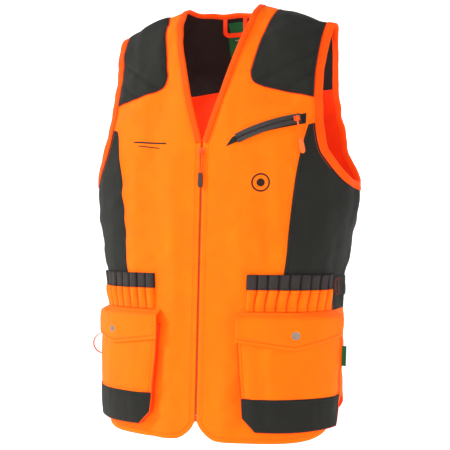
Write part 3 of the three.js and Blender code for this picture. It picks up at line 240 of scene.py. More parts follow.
def drape(turn, run):
    """How far the cloth stands off the body form, in millimetres: its folds and its slack."""
    place = surface(turn, run)
    x, y, z = place[..., 0], place[..., 1], place[..., 2]
    turn, run = np.broadcast_arrays(np.asarray(turn, float), np.asarray(run, float))
    side = np.where(run > RIDGE, 180 - np.abs(turn), np.abs(turn))
    height = np.where(run > RIDGE, FULL_RUN - run, run)
    hanging = 5.2 * noise(np.stack([x / 42, y / 42, z / 300], -1), 3)
    hanging = hanging + 2.3 * noise(np.stack([x / 21 + z / 400, y / 21, z / 140], -1), 5)
    dragging = 3.0 * noise(np.stack([(x + 0.6 * z) / 70, y / 50, (z - 0.6 * x) / 22], -1), 8)
    small = 0.7 * noise(place / 13.0, 13)
    free = step(4, 15, side) * (1 - 0.5 * step(RIDGE - 60, RIDGE, height))
    waist = np.exp(-((height - ELASTIC_BOTTOM - 16) / 34.0) ** 2) * step(62, 72, side)
    waist = waist * (1 - step(108, 120, side))
    ripple = np.sin(side * TURN_MM / 2.3 + 1.5 * noise(place / 12.0, 21)) * 0.9
    pocket = step(16, 24, side) * (1 - step(66, 76, side)) * (1 - step(262, 285, height)) * (run < RIDGE)
    chest = step(10, 16, side) * (1 - step(42, 52, side)) * step(455, 470, height)
    chest = chest * (1 - step(515, 535, height)) * (run < RIDGE) * (turn > 0)
    calm = 1 - np.maximum(0.82 * pocket, 0.9 * chest)
    return free * calm * (hanging + dragging + small) + waist * (ripple - 2.2)


def lie(turn, run, over):
    """Points at a height over the draped cloth's outer face, in metres."""
    turn, run = np.asarray(turn, float), np.asarray(run, float)
    height = np.asarray(over, float) + drape(turn, run)
    return (surface(turn, run) + normals(turn, run) * height[..., None]) * MM


# ---------- outlines ----------

def spline(points, count):
    """A smooth curve through points of two numbers each."""
    points = np.array(points, float)
    padded = np.vstack([points[0], points, points[-1]])
    t = np.linspace(0, len(points) - 1, count)
    i = np.minimum(t.astype(int), len(points) - 2)
    f = (t - i)[:, None]
    a, b, c, d = padded[i], padded[i + 1], padded[i + 2], padded[i + 3]
    return 0.5 * (2 * b + (c - a) * f + (2 * a - 5 * b + 4 * c - d) * f ** 2
                  + (3 * b - a - 3 * c + d) * f ** 3)


def turn_at(x, height):
    """The turn on the front where the form is x from the middle."""
    turns = np.linspace(0, 90, 721)
    return np.sign(x) * np.interp(abs(x), surface(turns, np.full(721, height))[:, 0], turns)


def on_front(x, z):
    """The turn and run of a point of the front, given as x and z."""
    low, high = 0.0, float(RIDGE)
    for _ in range(26):
        middle = (low + high) / 2
        if surface(turn_at(x, middle), middle)[2] < z:
            low = middle
        else:
            high = middle
    return turn_at(x, low), low


def around(distance, height):
    """The turn reached by measuring a distance round the body from the centre front."""
    turns = np.linspace(0, 180, 721)
    points = surface(turns, np.full(721, float(height)))
    lengths = np.concatenate([[0], np.cumsum(np.linalg.norm(np.diff(points, axis=0), axis=1))])
    return np.sign(distance) * np.interp(np.abs(distance), lengths, turns)


def spot(distance, height):
    return float(around(distance, height)), float(height)


def behind(points):
    """Places behind the side, as turn and run of the cloth that came over the shoulder."""
    points = np.atleast_2d(points)
    return np.stack([180 - points[:, 0], FULL_RUN - points[:, 1]], axis=1)


def mirrored(points):
    return (np.atleast_2d(points) * [-1, 1])[::-1]


def resampled(points, spacing, closed):
    """The same line with a point about every spacing millimetres, its corners kept."""
    points = np.array(points, float)
    out = []
    count = len(points) if closed else len(points) - 1
    for i in range(count):
        a, b = points[i], points[(i + 1) % len(points)]
        length = np.linalg.norm(surface(*a) - surface(*b))
        pieces = max(1, int(round(length / spacing)))
        out += [a + (b - a) * k / pieces for k in range(pieces)]
    if not closed:
        out.append(points[-1])
    return np.array(out)


def shifted(points, distance, closed=False):
    """Moves each point of a line a real distance to its left."""
    points = np.array(points, float)
    here = surface(points[:, 0], points[:, 1])
    ahead, back = np.roll(here, -1, 0) - here, here - np.roll(here, 1, 0)
    if not closed:
        ahead[-1], back[0] = back[-1], ahead[0]
    ahead, back = unit(ahead), unit(back)
    normal = normals(points[:, 0], points[:, 1])
    left = unit(np.cross(normal, ahead) + np.cross(normal, back))
    stretch = np.maximum(np.sum(left * np.cross(normal, ahead), axis=1), 0.4)
    reach = left * (np.asarray(distance) / stretch)[:, None]
    by_turn, by_run = slopes(points[:, 0], points[:, 1])
    tt, rr = np.sum(by_turn ** 2, 1), np.sum(by_run ** 2, 1)
    tr = np.sum(by_turn * by_run, 1)
    lt, lr = np.sum(reach * by_turn, 1), np.sum(reach * by_run, 1)
    scale = tt * rr - tr * tr
    return points + np.stack([(lt * rr - lr * tr) / scale, (lr * tt - lt * tr) / scale], axis=1)


def cut_at(line, run):
    """The point where a line crosses a run."""
    line = np.array(line, float)
    for a, b in zip(line, line[1:]):
        if (a[1] - run) * (b[1] - run) <= 0 and a[1] != b[1]:
            return a + (b - a) * (run - a[1]) / (b[1] - a[1])
    raise ValueError("the line doesn't reach that run")


def between(line, low, high):
    line = np.array(line, float)
    return line[(line[:, 1] > low) & (line[:, 1] < high)]


FRONT_EDGE = 1.7  # the fronts all but meet over the zip's teeth
HEM = spline([(turn_at(FRONT_EDGE, ZIP_BOTTOM), ZIP_BOTTOM), (2.4, 17), (6.6, 4), (12, 0.5), (28, 0.3),
              (46, 1), (57, 4), (66, 11), (73, 23), (81, 44), (SIDE_SEAM_TURN, VENT_HEIGHT)], 60)
NECK_FRONT = spline([(turn_at(FRONT_EDGE, NECK_HEIGHT), NECK_HEIGHT), (3.6, NECK_HEIGHT + 0.11 * NECK_DEPTH),
                     (7.2, NECK_HEIGHT + 0.24 * NECK_DEPTH), (11.6, NECK_HEIGHT + 0.43 * NECK_DEPTH),
                     (14.8, NECK_HEIGHT + 0.63 * NECK_DEPTH), (16, NECK_HEIGHT + 0.83 * NECK_DEPTH),
                     (NECK_TURN, RIDGE)], 40)
NECK_BACK = spline([(NECK_TURN, RIDGE), (NECK_TURN - 1, RIDGE + 0.36 * BACK_NECK_DROP),
                    (NECK_TURN - 4.5, RIDGE + 0.72 * BACK_NECK_DROP),
                    (NECK_TURN - 9.5, RIDGE + 0.95 * BACK_NECK_DROP), (0, RIDGE + BACK_NECK_DROP)], 24)
ARM_FRONT = spline([(SIDE_SEAM_TURN, ARMHOLE_HEIGHT)] + [
    (turn, ARMHOLE_HEIGHT + share * ARMHOLE_DEPTH) for turn, share in
    ((73, 0.03), (61, 0.11), (55.2, 0.2), (54.2, 0.3), (55.4, 0.43), (58, 0.6), (61, 0.8),
     (ARM_TURN, 1))], 60)
ARM_BACK = spline([(turn, RIDGE + share * ARMHOLE_DEPTH) for turn, share in
                   ((ARM_TURN, 0), (60, 0.2), (56.5, 0.45), (55.5, 0.65), (58.5, 0.8), (66, 0.92),
                    (77, 0.985), (SIDE_SEAM_TURN, 1))], 50)
SIDE_FRONT = spline([(36.5, FLAP_TOP), (36.8, 281), (36.4, 356), (37.5, CHEST_HEIGHT - 10),
                     (41, SIDE_TIP - 38), (45.5, SIDE_TIP - 6)], 30)
ARM_TIP = cut_at(ARM_FRONT, SIDE_TIP)
ARM_SEAM = cut_at(ARM_FRONT, SEAM_RUN)
NECK_SEAM = cut_at(NECK_FRONT, SEAM_RUN)
ARM_YOKE = cut_at(ARM_BACK, YOKE_SEAM)
BACK_SEAM_TOP = ARM_BACK[(ARM_BACK[:, 0] > 180 - BACK_SEAM_TURN)][0]


# ---------- meshes ----------

def mesh_object(name, vertices, faces, attributes=(), materials=(), face_slots=None):
    """A smooth mesh object with float or vector attributes on its points."""
    mesh = bpy.data.meshes.new(name)
    mesh.from_pydata(np.asarray(vertices, float).tolist(), [], [list(map(int, f)) for f in faces])
    for key, values in attributes:
        values = np.asarray(values, np.float32)
        kind, field = ("FLOAT", "value") if values.ndim == 1 else ("FLOAT_VECTOR", "vector")
        mesh.attributes.new(key, kind, "POINT").data.foreach_set(field, values.ravel())
    for material in materials:
        mesh.materials.append(material)
    if face_slots is not None:
        mesh.polygons.foreach_set("material_index", np.asarray(face_slots, np.int32))
    mesh.polygons.foreach_set("use_smooth", np.ones(len(mesh.polygons), bool))
    mesh.validate()
    mesh.update()
    made = bpy.data.objects.new(name, mesh)
    bpy.context.scene.collection.objects.link(made)
    return made


def inside(points, polygon):
    """Which points lie inside a polygon."""
    x, y = points[:, 0][:, None], points[:, 1][:, None]
    a, b = polygon, np.roll(polygon, -1, 0)
    crosses = (a[:, 1] > y) != (b[:, 1] > y)
    run = np.where(b[:, 1] == a[:, 1], 1e-9, b[:, 1] - a[:, 1])
    at = a[:, 0] + (y - a[:, 1]) * (b[:, 0] - a[:, 0]) / run
    return (np.sum(crosses & (x < at), axis=1) % 2).astype(bool)


def edge_distance(points, border):
    """The distance in millimetres of places from a closed border, over the form."""
    here = surface(points[:, 0], points[:, 1])
    a = surface(border[:, 0], border[:, 1])
    b = np.roll(a, -1, 0)
    way = b - a
    out = np.empty(len(here))
    for start in range(0, len(here), 1500):
        p = here[start:start + 1500, None, :]
        t = np.clip(np.sum((p - a) * way, -1) / np.maximum(np.sum(way * way, -1), 1e-9), 0, 1)
        out[start:start + 1500] = np.min(np.linalg.norm(p - a - way * t[..., None], axis=-1), axis=1)
    return out


def cut_cloth(outline, spacing=5.0, rings=(0.7, 2.2, 5.0)):
    """A cut piece: its points, its triangles and each point's distance from the edge."""
    outline = np.array(outline, float)
    ahead = np.roll(outline, -1, 0)
    if np.sum(outline[:, 0] * ahead[:, 1] - ahead[:, 0] * outline[:, 1]) < 0:
        outline = outline[::-1]
    border = resampled(outline, min(spacing, 4.0), True)
    scale = np.array([TURN_MM, 1.0])
    low, high = (border * scale).min(0), (border * scale).max(0)
    rows = np.arange(low[1] + spacing / 2, high[1], spacing * 0.87)
    lattice = []
    for k, row in enumerate(rows):
        along_row = np.arange(low[0] + spacing * (0.5 + 0.5 * (k % 2)), high[0], spacing)
        lattice.append(np.stack([along_row, np.full(len(along_row), row)], 1))
    lattice = np.vstack(lattice) / scale if lattice else np.zeros((0, 2))
    lattice = lattice[inside(lattice, border)]
    lattice = lattice[edge_distance(lattice, border) > rings[-1] + 0.45 * spacing]
    loops = [lattice]
    for ring_at in rings:
        loop = shifted(border, ring_at, True)
        loop = loop[inside(loop, border)]
        loops.append(loop[edge_distance(loop, border) > 0.92 * ring_at])
    points = np.vstack([border] + loops)
    count = len(border)
    edges = [(i, (i + 1) % count) for i in range(count)]
    flat = [Vector(p) for p in (points * scale)]
    got, _, faces, _, _, _ = delaunay_2d_cdt(flat, edges, [], 1, 1e-4)
    points = np.array([p[:] for p in got]) / scale
    faces = np.array([f for f in faces if len(f) == 3])
    a, b, c = (points[faces[:, k]] * scale for k in range(3))
    turned = np.cross(b - a, c - a) < 0
    faces[turned] = faces[turned][:, ::-1]
    edge = edge_distance(points, border)
    edge[edge < 1e-3] = 0
    return points, faces, edge


def border_loops(faces):
    """The directed edges that only one triangle has."""
    directed = {(a, b) for f in faces for a, b in ((f[0], f[1]), (f[1], f[2]), (f[2], f[0]))}
    return [(a, b) for a, b in directed if (b, a) not in directed]


def cloth_piece(name, outline, over, thick, looks, relief=None, shade=None, spacing=5.0, soft=None,
                rings=(0.7, 2.2, 5.0)):
    """A closed piece of cloth cut to an outline and laid over the form, with rounded edges.

    over is the height of its outer face and may be a function of turn and run, relief adds folds and
    padding as a function of turn, run and the distance from the edge, and shade gives the painted shade of
    deep creases.
    """
    points, faces, edge = cut_cloth(outline, spacing, rings)
    turn, run = points.T
    height = over(turn, run) if callable(over) else np.full(len(turn), float(over))
    if relief is not None:
        height = height + relief(turn, run, edge)
    soft = thick / 2 if soft is None else soft
    roll = soft * (1 - np.sqrt(np.clip(1 - (1 - np.minimum(edge, 2.2) / 2.2) ** 2, 0, 1)))
    upper = lie(turn, run, height - roll)
    lower = lie(turn, run, height - thick + np.minimum(roll, thick / 2))
    count = len(turn)
    sides = [(a + count, b + count, b, a) for a, b in border_loops(faces)]
    lay = np.stack([turn * TURN_MM, run, edge], axis=1) * MM
    # Painted shade for deep creases, carried to the material on the points.
    crease = np.zeros(count) if shade is None else shade(turn, run, edge)
    every = [tuple(f) for f in faces] + [tuple(f[::-1] + count) for f in faces] + sides
    slots = [0] * len(faces) + [1 if len(looks) > 1 else 0] * len(faces) + [0] * len(sides)
    return mesh_object(name, np.vstack([upper, lower]), every,
                       [("lay", np.vstack([lay, lay])), ("crease", np.tile(crease, 2))], looks, slots)


def sweep(name, line, profile, looks, closed=False, spacing=4.0, over=None, taper=None):
    """A closed section of (distance to the left, height) points carried along a line on the cloth."""
    line = resampled(line, spacing, closed) if spacing else np.array(line, float)
    count, size = len(line), len(profile)
    share = np.ones(count) if taper is None else taper(np.linspace(0, 1, count))
    rows = []
    for across, height in profile:
        moved = shifted(line, np.full(count, across) * share, closed)
        lifted = height * share + (0 if over is None else over(moved[:, 0], moved[:, 1]))
        rows.append(lie(moved[:, 0], moved[:, 1], lifted))
    vertices = np.stack(rows, 1).reshape(-1, 3)
    faces = []
    for i in range(count if closed else count - 1):
        for k in range(size):
            p, q = size * i + k, size * i + (k + 1) % size
            r, s = size * ((i + 1) % count) + (k + 1) % size, size * ((i + 1) % count) + k
            faces.append((p, q, r, s))
    if not closed:
        faces += [tuple(range(size - 1, -1, -1)), tuple(range(size * (count - 1), size * count))]
    points = surface(line[:, 0], line[:, 1])
    length = np.concatenate([[0], np.cumsum(np.linalg.norm(np.diff(points, axis=0), axis=1))])
    girth = np.linspace(0, 2.0 * max(1, abs(profile[0][0] - profile[size // 2][0])), size)
    lay = np.stack(np.broadcast_arrays(length[:, None], girth[None, :], 5.0), -1).reshape(-1, 3) * MM
    made = mesh_object(name, vertices, faces, [("lay", lay), ("crease", np.zeros(len(lay)))], looks)
    outward(made)
    return made


def outward(piece):
    """Turns the faces of a closed mesh outward if its volume says that they look in."""
    mesh = piece.data
    mesh.calc_loop_triangles()
    corners = np.array([t.vertices for t in mesh.loop_triangles])
    points = np.empty(len(mesh.vertices) * 3)
    mesh.vertices.foreach_get("co", points)
    a, b, c = (points.reshape(-1, 3)[corners[:, k]] for k in range(3))
    if np.sum(a * np.cross(b, c)) < 0:
        mesh.flip_normals()


def oval(width, height, middle=(0, 0), count=8, flat=1.0):
    """A rounded section: (across, height) points round a middle."""
    turns = np.arange(count) * 2 * math.pi / count
    return [(middle[0] + width / 2 * np.sign(math.cos(t)) * abs(math.cos(t)) ** flat,
             middle[1] + height / 2 * np.sign(math.sin(t)) * abs(math.sin(t)) ** flat) for t in turns]


def dress(piece, body, slot, *nodes):
    """Puts a finished piece on its body and hides the CAD nodes that it stands for; slot is not used."""
    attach(piece, body)
    if nodes:
        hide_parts(*nodes)
    return piece


def area_of(outline):
    """The area of a cut piece and its size round and along the body, in metres."""
    points, faces, _ = cut_cloth(outline, 14.0)
    here = surface(points[:, 0], points[:, 1]) * MM
    a, b, c = (here[faces[:, k]] for k in range(3))
    total = float(np.sum(np.linalg.norm(np.cross(b - a, c - a), axis=1)) / 2)
    turns, runs = points.T
    middle = np.median(runs)
    ends = np.linspace(turns.min(), turns.max(), 60)
    across = np.linalg.norm(np.diff(surface(ends, np.full(60, middle)), axis=0), axis=1).sum() * MM
    along = (runs.max() - runs.min()) * MM
    return total, (max(across, total / along), along)


def as_sheet(outline):
    total, flat = area_of(outline)
    min(total, flat[0] * flat[1])


def sheet_faces(rows, columns, closed=False):
    """The outer face, the inner face and the rim of a thick sheet over a grid of points."""
    count = rows * columns

    def at(i, j):
        return (i % rows) * columns + j

    faces = []
    for i in range(rows if closed else rows - 1):
        for j in range(columns - 1):
            quad = (at(i, j), at(i + 1, j), at(i + 1, j + 1), at(i, j + 1))
            faces += [quad, tuple(v + count for v in quad[::-1])]
        for j in (0, columns - 1):
            quad = (at(i, j), at(i, j) + count, at(i + 1, j) + count, at(i + 1, j))
            faces.append(quad if j == 0 else quad[::-1])
    for i in () if closed else (0, rows - 1):
        for j in range(columns - 1):
            quad = (at(i, j), at(i, j + 1), at(i, j + 1) + count, at(i, j) + count)
            faces.append(quad if i == 0 else quad[::-1])
    return faces


def slab(name, grid, thick, looks, closed=False):
    """A closed sheet of even thickness over a grid of points in millimetres."""
    grid = np.asarray(grid, float)
    rows, columns = grid.shape[:2]
    along = np.roll(grid, -1, 0) - np.roll(grid, 1, 0) if closed else np.gradient(grid, axis=0)
    normal = unit(np.cross(along, np.gradient(grid, axis=1)))
    vertices = np.concatenate([grid + normal * thick / 2, grid - normal * thick / 2]).reshape(-1, 3) * MM
    lengths = np.cumsum(np.linalg.norm(np.diff(grid, axis=0, prepend=grid[:1]), axis=-1), axis=0)
    widths = np.cumsum(np.linalg.norm(np.diff(grid, axis=1, prepend=grid[:, :1]), axis=-1), axis=1)
    border = np.minimum(widths, widths[:, -1:] - widths)
    lay = np.stack([widths, lengths, border], -1).reshape(-1, 3) * MM
    attributes = [("lay", np.vstack([lay, lay])), ("crease", np.zeros(2 * rows * columns))]
    piece = mesh_object(name, vertices, sheet_faces(rows, columns, closed), attributes, looks)
    outward(piece)
    return piece


def beads(name, places, shape, faces, looks):
    """Many copies of one small closed shape: places are (origin, right, up, out) in millimetres."""
    shape = np.asarray(shape, float)
    vertices, all_faces = [], []
    for origin, right, up, out in places:
        base = len(vertices) * len(shape)
        vertices.append(np.asarray(origin) + shape @ np.array([right, up, out]))
        all_faces += [tuple(base + v for v in face) for face in faces]
    flat = np.concatenate(vertices) * MM
    lay = np.tile(shape * MM, (len(vertices), 1))
    piece = mesh_object(name, flat, all_faces, [("lay", lay), ("crease", np.zeros(len(flat)))], looks)
    outward(piece)
    return piece


def capsule(length, width, thick):
    """A short rounded bar: a stitch. X across, Y along, Z out."""
    ring_at = [(-0.5, 0.35), (-0.36, 0.9), (0.36, 0.9), (0.5, 0.35)]
    points, faces = [], []
    for share, full in ring_at:
        for k in range(6):
            turn = k * math.pi / 3
            points.append((width / 2 * full * math.cos(turn), length * share,
                           thick / 2 * full * math.sin(turn)))
    for i in range(3):
        for k in range(6):
            a, b = 6 * i + k, 6 * i + (k + 1) % 6
            faces.append((a, b, b + 6, a + 6))
    faces += [tuple(range(5, -1, -1)), tuple(range(18, 24))]
    return points, faces


def frames_along(line, pitch, over):
    """Places at an even pitch along a line on the cloth: (origin, right, ahead, out)."""
    line = resampled(line, 2.0, False)
    turn, run = line.T
    height = over(turn, run) if callable(over) else np.full(len(turn), float(over))
    points = lie(turn, run, height) / MM
    length = np.concatenate([[0], np.cumsum(np.linalg.norm(np.diff(points, axis=0), axis=1))])
    if length[-1] < pitch:
        return []
    stations = np.arange(pitch / 2, length[-1], pitch)
    at = np.stack([np.interp(stations, length, points[:, k]) for k in range(3)], 1)
    turns, runs = np.interp(stations, length, turn), np.interp(stations, length, run)
    ahead = unit(np.stack([np.interp(stations + 1.2, length, points[:, k]) for k in range(3)], 1)
                 - np.stack([np.interp(stations - 1.2, length, points[:, k]) for k in range(3)], 1))
    out = unit(normals(turns, runs))
    right = unit(np.cross(ahead, out))
    out = np.cross(right, ahead)
    return list(zip(at, right, ahead, out))


def size_of(name):
    """A size that the user may change, in millimetres."""
    return round(getattr(bpy.context.scene.vest_sizes, name) / MM, 3)


def stitches(name, lines, over, look, body="vest", slot="shell_orange"):
    """Rows of lockstitch as real thread, on the outer face of the cloth."""
    places = []
    for line in lines:
        places += frames_along(line, size_of("stitch_pitch"), over)
    points, faces = capsule(size_of("stitch"), size_of("thread"), size_of("thread"))
    return dress(beads(name, places, points, faces, [look]), body, slot)


# ---------- finishes ----------

class Value:
    """A socket of the material being written, on which sums can be done."""

    def __init__(self, tree, socket):
        self.tree, self.socket = tree, socket

    def node(self, kind, settings=None, output=0, **sockets):
        made = self.tree.nodes.new(kind)
        for key, value in (settings or {}).items():
            setattr(made, key, value)
        for key, value in sockets.items():
            name = int(key[1:]) if key[1:].isdigit() else key.replace("_", " ")
            if isinstance(value, Value):
                self.tree.links.new(value.socket, made.inputs[name])
            else:
                made.inputs[name].default_value = value
        return Value(self.tree, made.outputs[output])

    def math(self, operation, *values):
        return self.node("ShaderNodeMath", {"operation": operation},
                         **{f"i{n}": value for n, value in enumerate(values)})

    def __add__(self, other):
        return self.math("ADD", self, other)

    __radd__ = __add__

    def __sub__(self, other):
        return self.math("SUBTRACT", self, other)

    def __rsub__(self, other):
        return self.math("SUBTRACT", other, self)

    def __mul__(self, other):
        return self.math("MULTIPLY", self, other)

    __rmul__ = __mul__

    def __truediv__(self, other):
        return self.math("DIVIDE", self, other)

    def sine(self):
        return self.math("SINE", self)

    def power(self, exponent):
        return self.math("POWER", self, exponent)

    def clamp(self):
        return self.node("ShaderNodeClamp", Value=self)

    def band(self, middle, width):
        """1 at a middle value, falling to 0 at a distance of width."""
        return (1 - self.math("ABSOLUTE", self - middle) / width).clamp()

    def mix(self, low, high):
        """Colours low to high as this goes from 0 to 1."""
        return self.node("ShaderNodeMix", {"data_type": "RGBA"}, 2, i0=self, i6=low, i7=high)


def rgb(colour, by=1.0):
    return (*[min(1.0, c * by) for c in colour], 1.0)


def finish_of(name):
    material = bpy.data.materials.new(name)
    material.use_nodes = True
    tree = material.node_tree
    shader = tree.nodes["Principled BSDF"]
    start = Value(tree, shader.outputs[0])
    return material, shader, start


def join(material, value, socket):
    material.node_tree.links.new(value.socket, socket)


def clothlike(name, colour, shade, pitch=0.9, glow=None, glow_strength=0.0, rough=0.82, sheen=0.15,
              twill=True, seam=6.0, depth=0.00022):
    """Woven cloth: a twill or plain weave, soft colour changes, a seam groove, painted shade in creases,
    along the seam and at the cut edges, and a painted glow if glow is given.
    """
    material, shader, start = finish_of(name)
    lay = start.node("ShaderNodeAttribute", {"attribute_name": "lay"}, output=1)
    parts = lay.node("ShaderNodeSeparateXYZ", Vector=lay)
    across = parts
    along = Value(parts.tree, parts.socket.node.outputs[1])
    edge = Value(parts.tree, parts.socket.node.outputs[2])
    crease = start.node("ShaderNodeAttribute", {"attribute_name": "crease"}, output=2)
    turn = 2 * math.pi / (pitch * MM)
    if twill:
        weave = ((across + along * 1.0) * (turn / 1.4)).sine() * 0.5 + 0.5
        weave = weave * 0.75 + (along * (turn * 1.6)).sine() * 0.12 + 0.13
    else:
        weave = (across * turn).sine() * (along * turn).sine() * 0.5 + 0.5
    cloud = lay.node("ShaderNodeTexNoise", Vector=lay, Scale=26.0, Detail=3.0, Roughness=0.55)
    fibre = lay.node("ShaderNodeTexNoise", Vector=lay, Scale=900.0, Detail=2.0)
    # The seam line is a groove in the bump and a line of painted shade in the colour.
    seam_groove_shade = edge.band(seam * MM, 0.7 * MM)
    # Painted shade along the cut edges: the colour darkens over the last 0.9 mm.
    rim = 1 - (edge / (0.9 * MM)).clamp()
    tone = (cloud * 1.1 - 0.05 + (fibre - 0.5) * 0.35 + (weave - 0.5) * 0.22).clamp()
    base = tone.mix(rgb(colour, 0.80), rgb(colour, 1.12))
    # Painted shade: the crease shade, the seam line and the cut edges mix the colour towards the shade
    # colour.
    base = (crease * 0.85 + seam_groove_shade * 0.3 + rim * 0.25).clamp().mix(base, rgb(shade))
    join(material, base, shader.inputs["Base Color"])
    join(material, (rough + (cloud - 0.5) * 0.14 + (weave - 0.5) * 0.06), shader.inputs["Roughness"])
    wrinkle = lay.node("ShaderNodeTexNoise", Vector=lay, Scale=70.0, Detail=4.0, Roughness=0.6)
    height = weave * depth + fibre * (depth * 0.5) + wrinkle * 0.0011 - seam_groove_shade * 0.0005
    bump = height.node("ShaderNodeBump", Strength=0.65, Distance=1.0, Height=height)
    join(material, bump, shader.inputs["Normal"])
    shader.inputs["Sheen Weight"].default_value = sheen * 0.15
    shader.inputs["Specular IOR Level"].default_value = 0.16
    shader.inputs["Sheen Roughness"].default_value = 0.5
    # Painted glow: an emission that keeps the fluorescent orange bright and red in shade, dimmer where the
    # painted crease shade lies.
    if glow:
        painted_glow = crease.clamp().mix(rgb(glow), rgb(glow, 0.45))
        join(material, painted_glow, shader.inputs["Emission Color"])
        shader.inputs["Emission Strength"].default_value = glow_strength
    return material


def hardlike(name, colour, rough=0.35, metallic=0.0, glow=None, glow_strength=0.0, grain=140.0):
    """Moulded plastic, enamel or plated metal, with fine grain and a mottled tone."""
    material, shader, start = finish_of(name)
    place = start.node("ShaderNodeTexCoord", output=3)
    cloud = place.node("ShaderNodeTexNoise", Vector=place, Scale=grain, Detail=4.0)
    scratch = place.node("ShaderNodeTexNoise", Vector=place, Scale=grain * 9, Detail=2.0)
    join(material, (cloud * 1.2 - 0.1).clamp().mix(rgb(colour, 0.8), rgb(colour, 1.15)),
         shader.inputs["Base Color"])
    join(material, rough + (cloud - 0.5) * 0.25 + (scratch - 0.5) * 0.08, shader.inputs["Roughness"])
    height = cloud * 0.0001 + scratch * 0.00003
    join(material, height.node("ShaderNodeBump", Strength=0.5, Distance=1.0, Height=height),
         shader.inputs["Normal"])
    shader.inputs["Metallic"].default_value = metallic
    # Painted glow: an emission that keeps the coloured parts bright in shade.
    if glow:
        shader.inputs["Emission Color"].default_value = rgb(glow)
        shader.inputs["Emission Strength"].default_value = glow_strength
    return material


LOOKS = {}


def make_looks():
    colours = bpy.context.scene.vest_colours
    orange, dark = tuple(colours.shell), tuple(colours.panel)
    # Painted glow: glow and red are emission colours that keep the orange cloth, threads, tapes and plastics
    # bright and red in shade.
    glow = (1.0, 0.045, 0.0)
    red = (0.85, 0.018, 0.0)
    # The second colour given to each cloth is its painted shade, for creases, seams and cut edges.
    LOOKS.update({
        "shell": clothlike("orange_twill", orange, (0.62, 0.035, 0.0), 0.9, glow, colours.glow),
        "binding": clothlike("binding_twill", (0.85, 0.085, 0.0), (0.55, 0.03, 0.0), 0.7,
                             glow, colours.glow * 0.8, seam=1.8),
        "panel": clothlike("dark_canvas", dark, tuple(c * 0.35 for c in dark), 0.8, sheen=0.3,
                           twill=False, rough=0.88),
        "lining_dark": clothlike("dark_lining", tuple(c * 0.8 for c in dark), (0.008, 0.008, 0.007),
                                 0.5, rough=0.7, sheen=0.1, twill=False),
        # The inner side of the orange is a darker, redder copy of the orange: painted shade for the inside
        # of the vest, also used for the facings, the gussets and the chest pocket's bag.
        "lining_red": clothlike("inner_side_of_the_orange", (0.8, 0.05, 0.004), (0.3, 0.015, 0.0), 0.9,
                                red, 0.34),
        "tape": clothlike("zip_tape", (0.75, 0.07, 0.003), (0.4, 0.02, 0.0), 0.5, red, 0.18, twill=False),
        "loops": clothlike("loop_elastic", (0.042, 0.034, 0.033), (0.006, 0.005, 0.005), 1.2, sheen=0.25,
                           twill=False, seam=2.5),
        "elastic": clothlike("waist_elastic", (0.036, 0.034, 0.03), (0.008, 0.008, 0.007), 1.4, sheen=0.3,
                             twill=False, seam=3.0),
        "webbing": clothlike("hanger_webbing", (0.85, 0.06, 0.01), (0.4, 0.02, 0.0), 1.0, red, 0.25,
                             twill=False, seam=1.0),
        "label": clothlike("woven_label", (0.012, 0.16, 0.045), (0.004, 0.05, 0.015), 0.4, rough=0.6,
                           twill=False, seam=1.2),
        "label_mark": clothlike("label_thread", (0.55, 0.62, 0.5), (0.2, 0.3, 0.2), 0.4, twill=False),
        "thread_orange": clothlike("orange_thread", (0.8, 0.085, 0.002), (0.5, 0.03, 0.0), 0.5,
                                   glow, colours.glow * 0.6, rough=0.55),
        "thread_dark": clothlike("dark_thread", (0.05, 0.047, 0.042), (0.01, 0.01, 0.01), 0.5, rough=0.5),
        "thread_mark": clothlike("mark_thread", (0.035, 0.01, 0.008), (0.01, 0.005, 0.005), 0.6, rough=0.5),
        "thread_red": clothlike("red_thread", (0.75, 0.05, 0.008), (0.3, 0.02, 0.0), 0.5, red, 0.2),
        "cord": clothlike("braided_cord", (0.95, 0.13, 0.006), (0.5, 0.03, 0.0), 0.7, glow, 0.35, rough=0.6),
        "teeth": hardlike("orange_teeth", (0.72, 0.06, 0.003), 0.38, 0.0, red, 0.12),
        "teeth_dark": hardlike("dark_teeth", (0.03, 0.022, 0.02), 0.33),
        "slider": hardlike("slider_enamel", (0.85, 0.10, 0.006), 0.3, 0.2, red, 0.15),
        "tip_dark": hardlike("dark_rubber", (0.045, 0.012, 0.01), 0.5),
        "tip_orange": hardlike("orange_rubber", (0.9, 0.14, 0.008), 0.5, 0.0, glow, 0.3),
        "snap": hardlike("burnished_metal", (0.28, 0.22, 0.18), 0.36, 0.9, grain=60.0),
    })


# ---------- the pieces, each made by its operator ----------

def both(name, make, outline, *nodes):
    """A piece on each side: make(side's name, outline) gives the wearer's left or right."""
    made = []
    for side, line in (("left", np.asarray(outline)), ("right", mirrored(outline))):
        piece = make(f"cloth_{name}_{side}", line, 1 if side == "left" else -1)
        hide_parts(*[f"{node}_{side}" for node in (nodes or (name,))])
        made.append(piece)
    return made


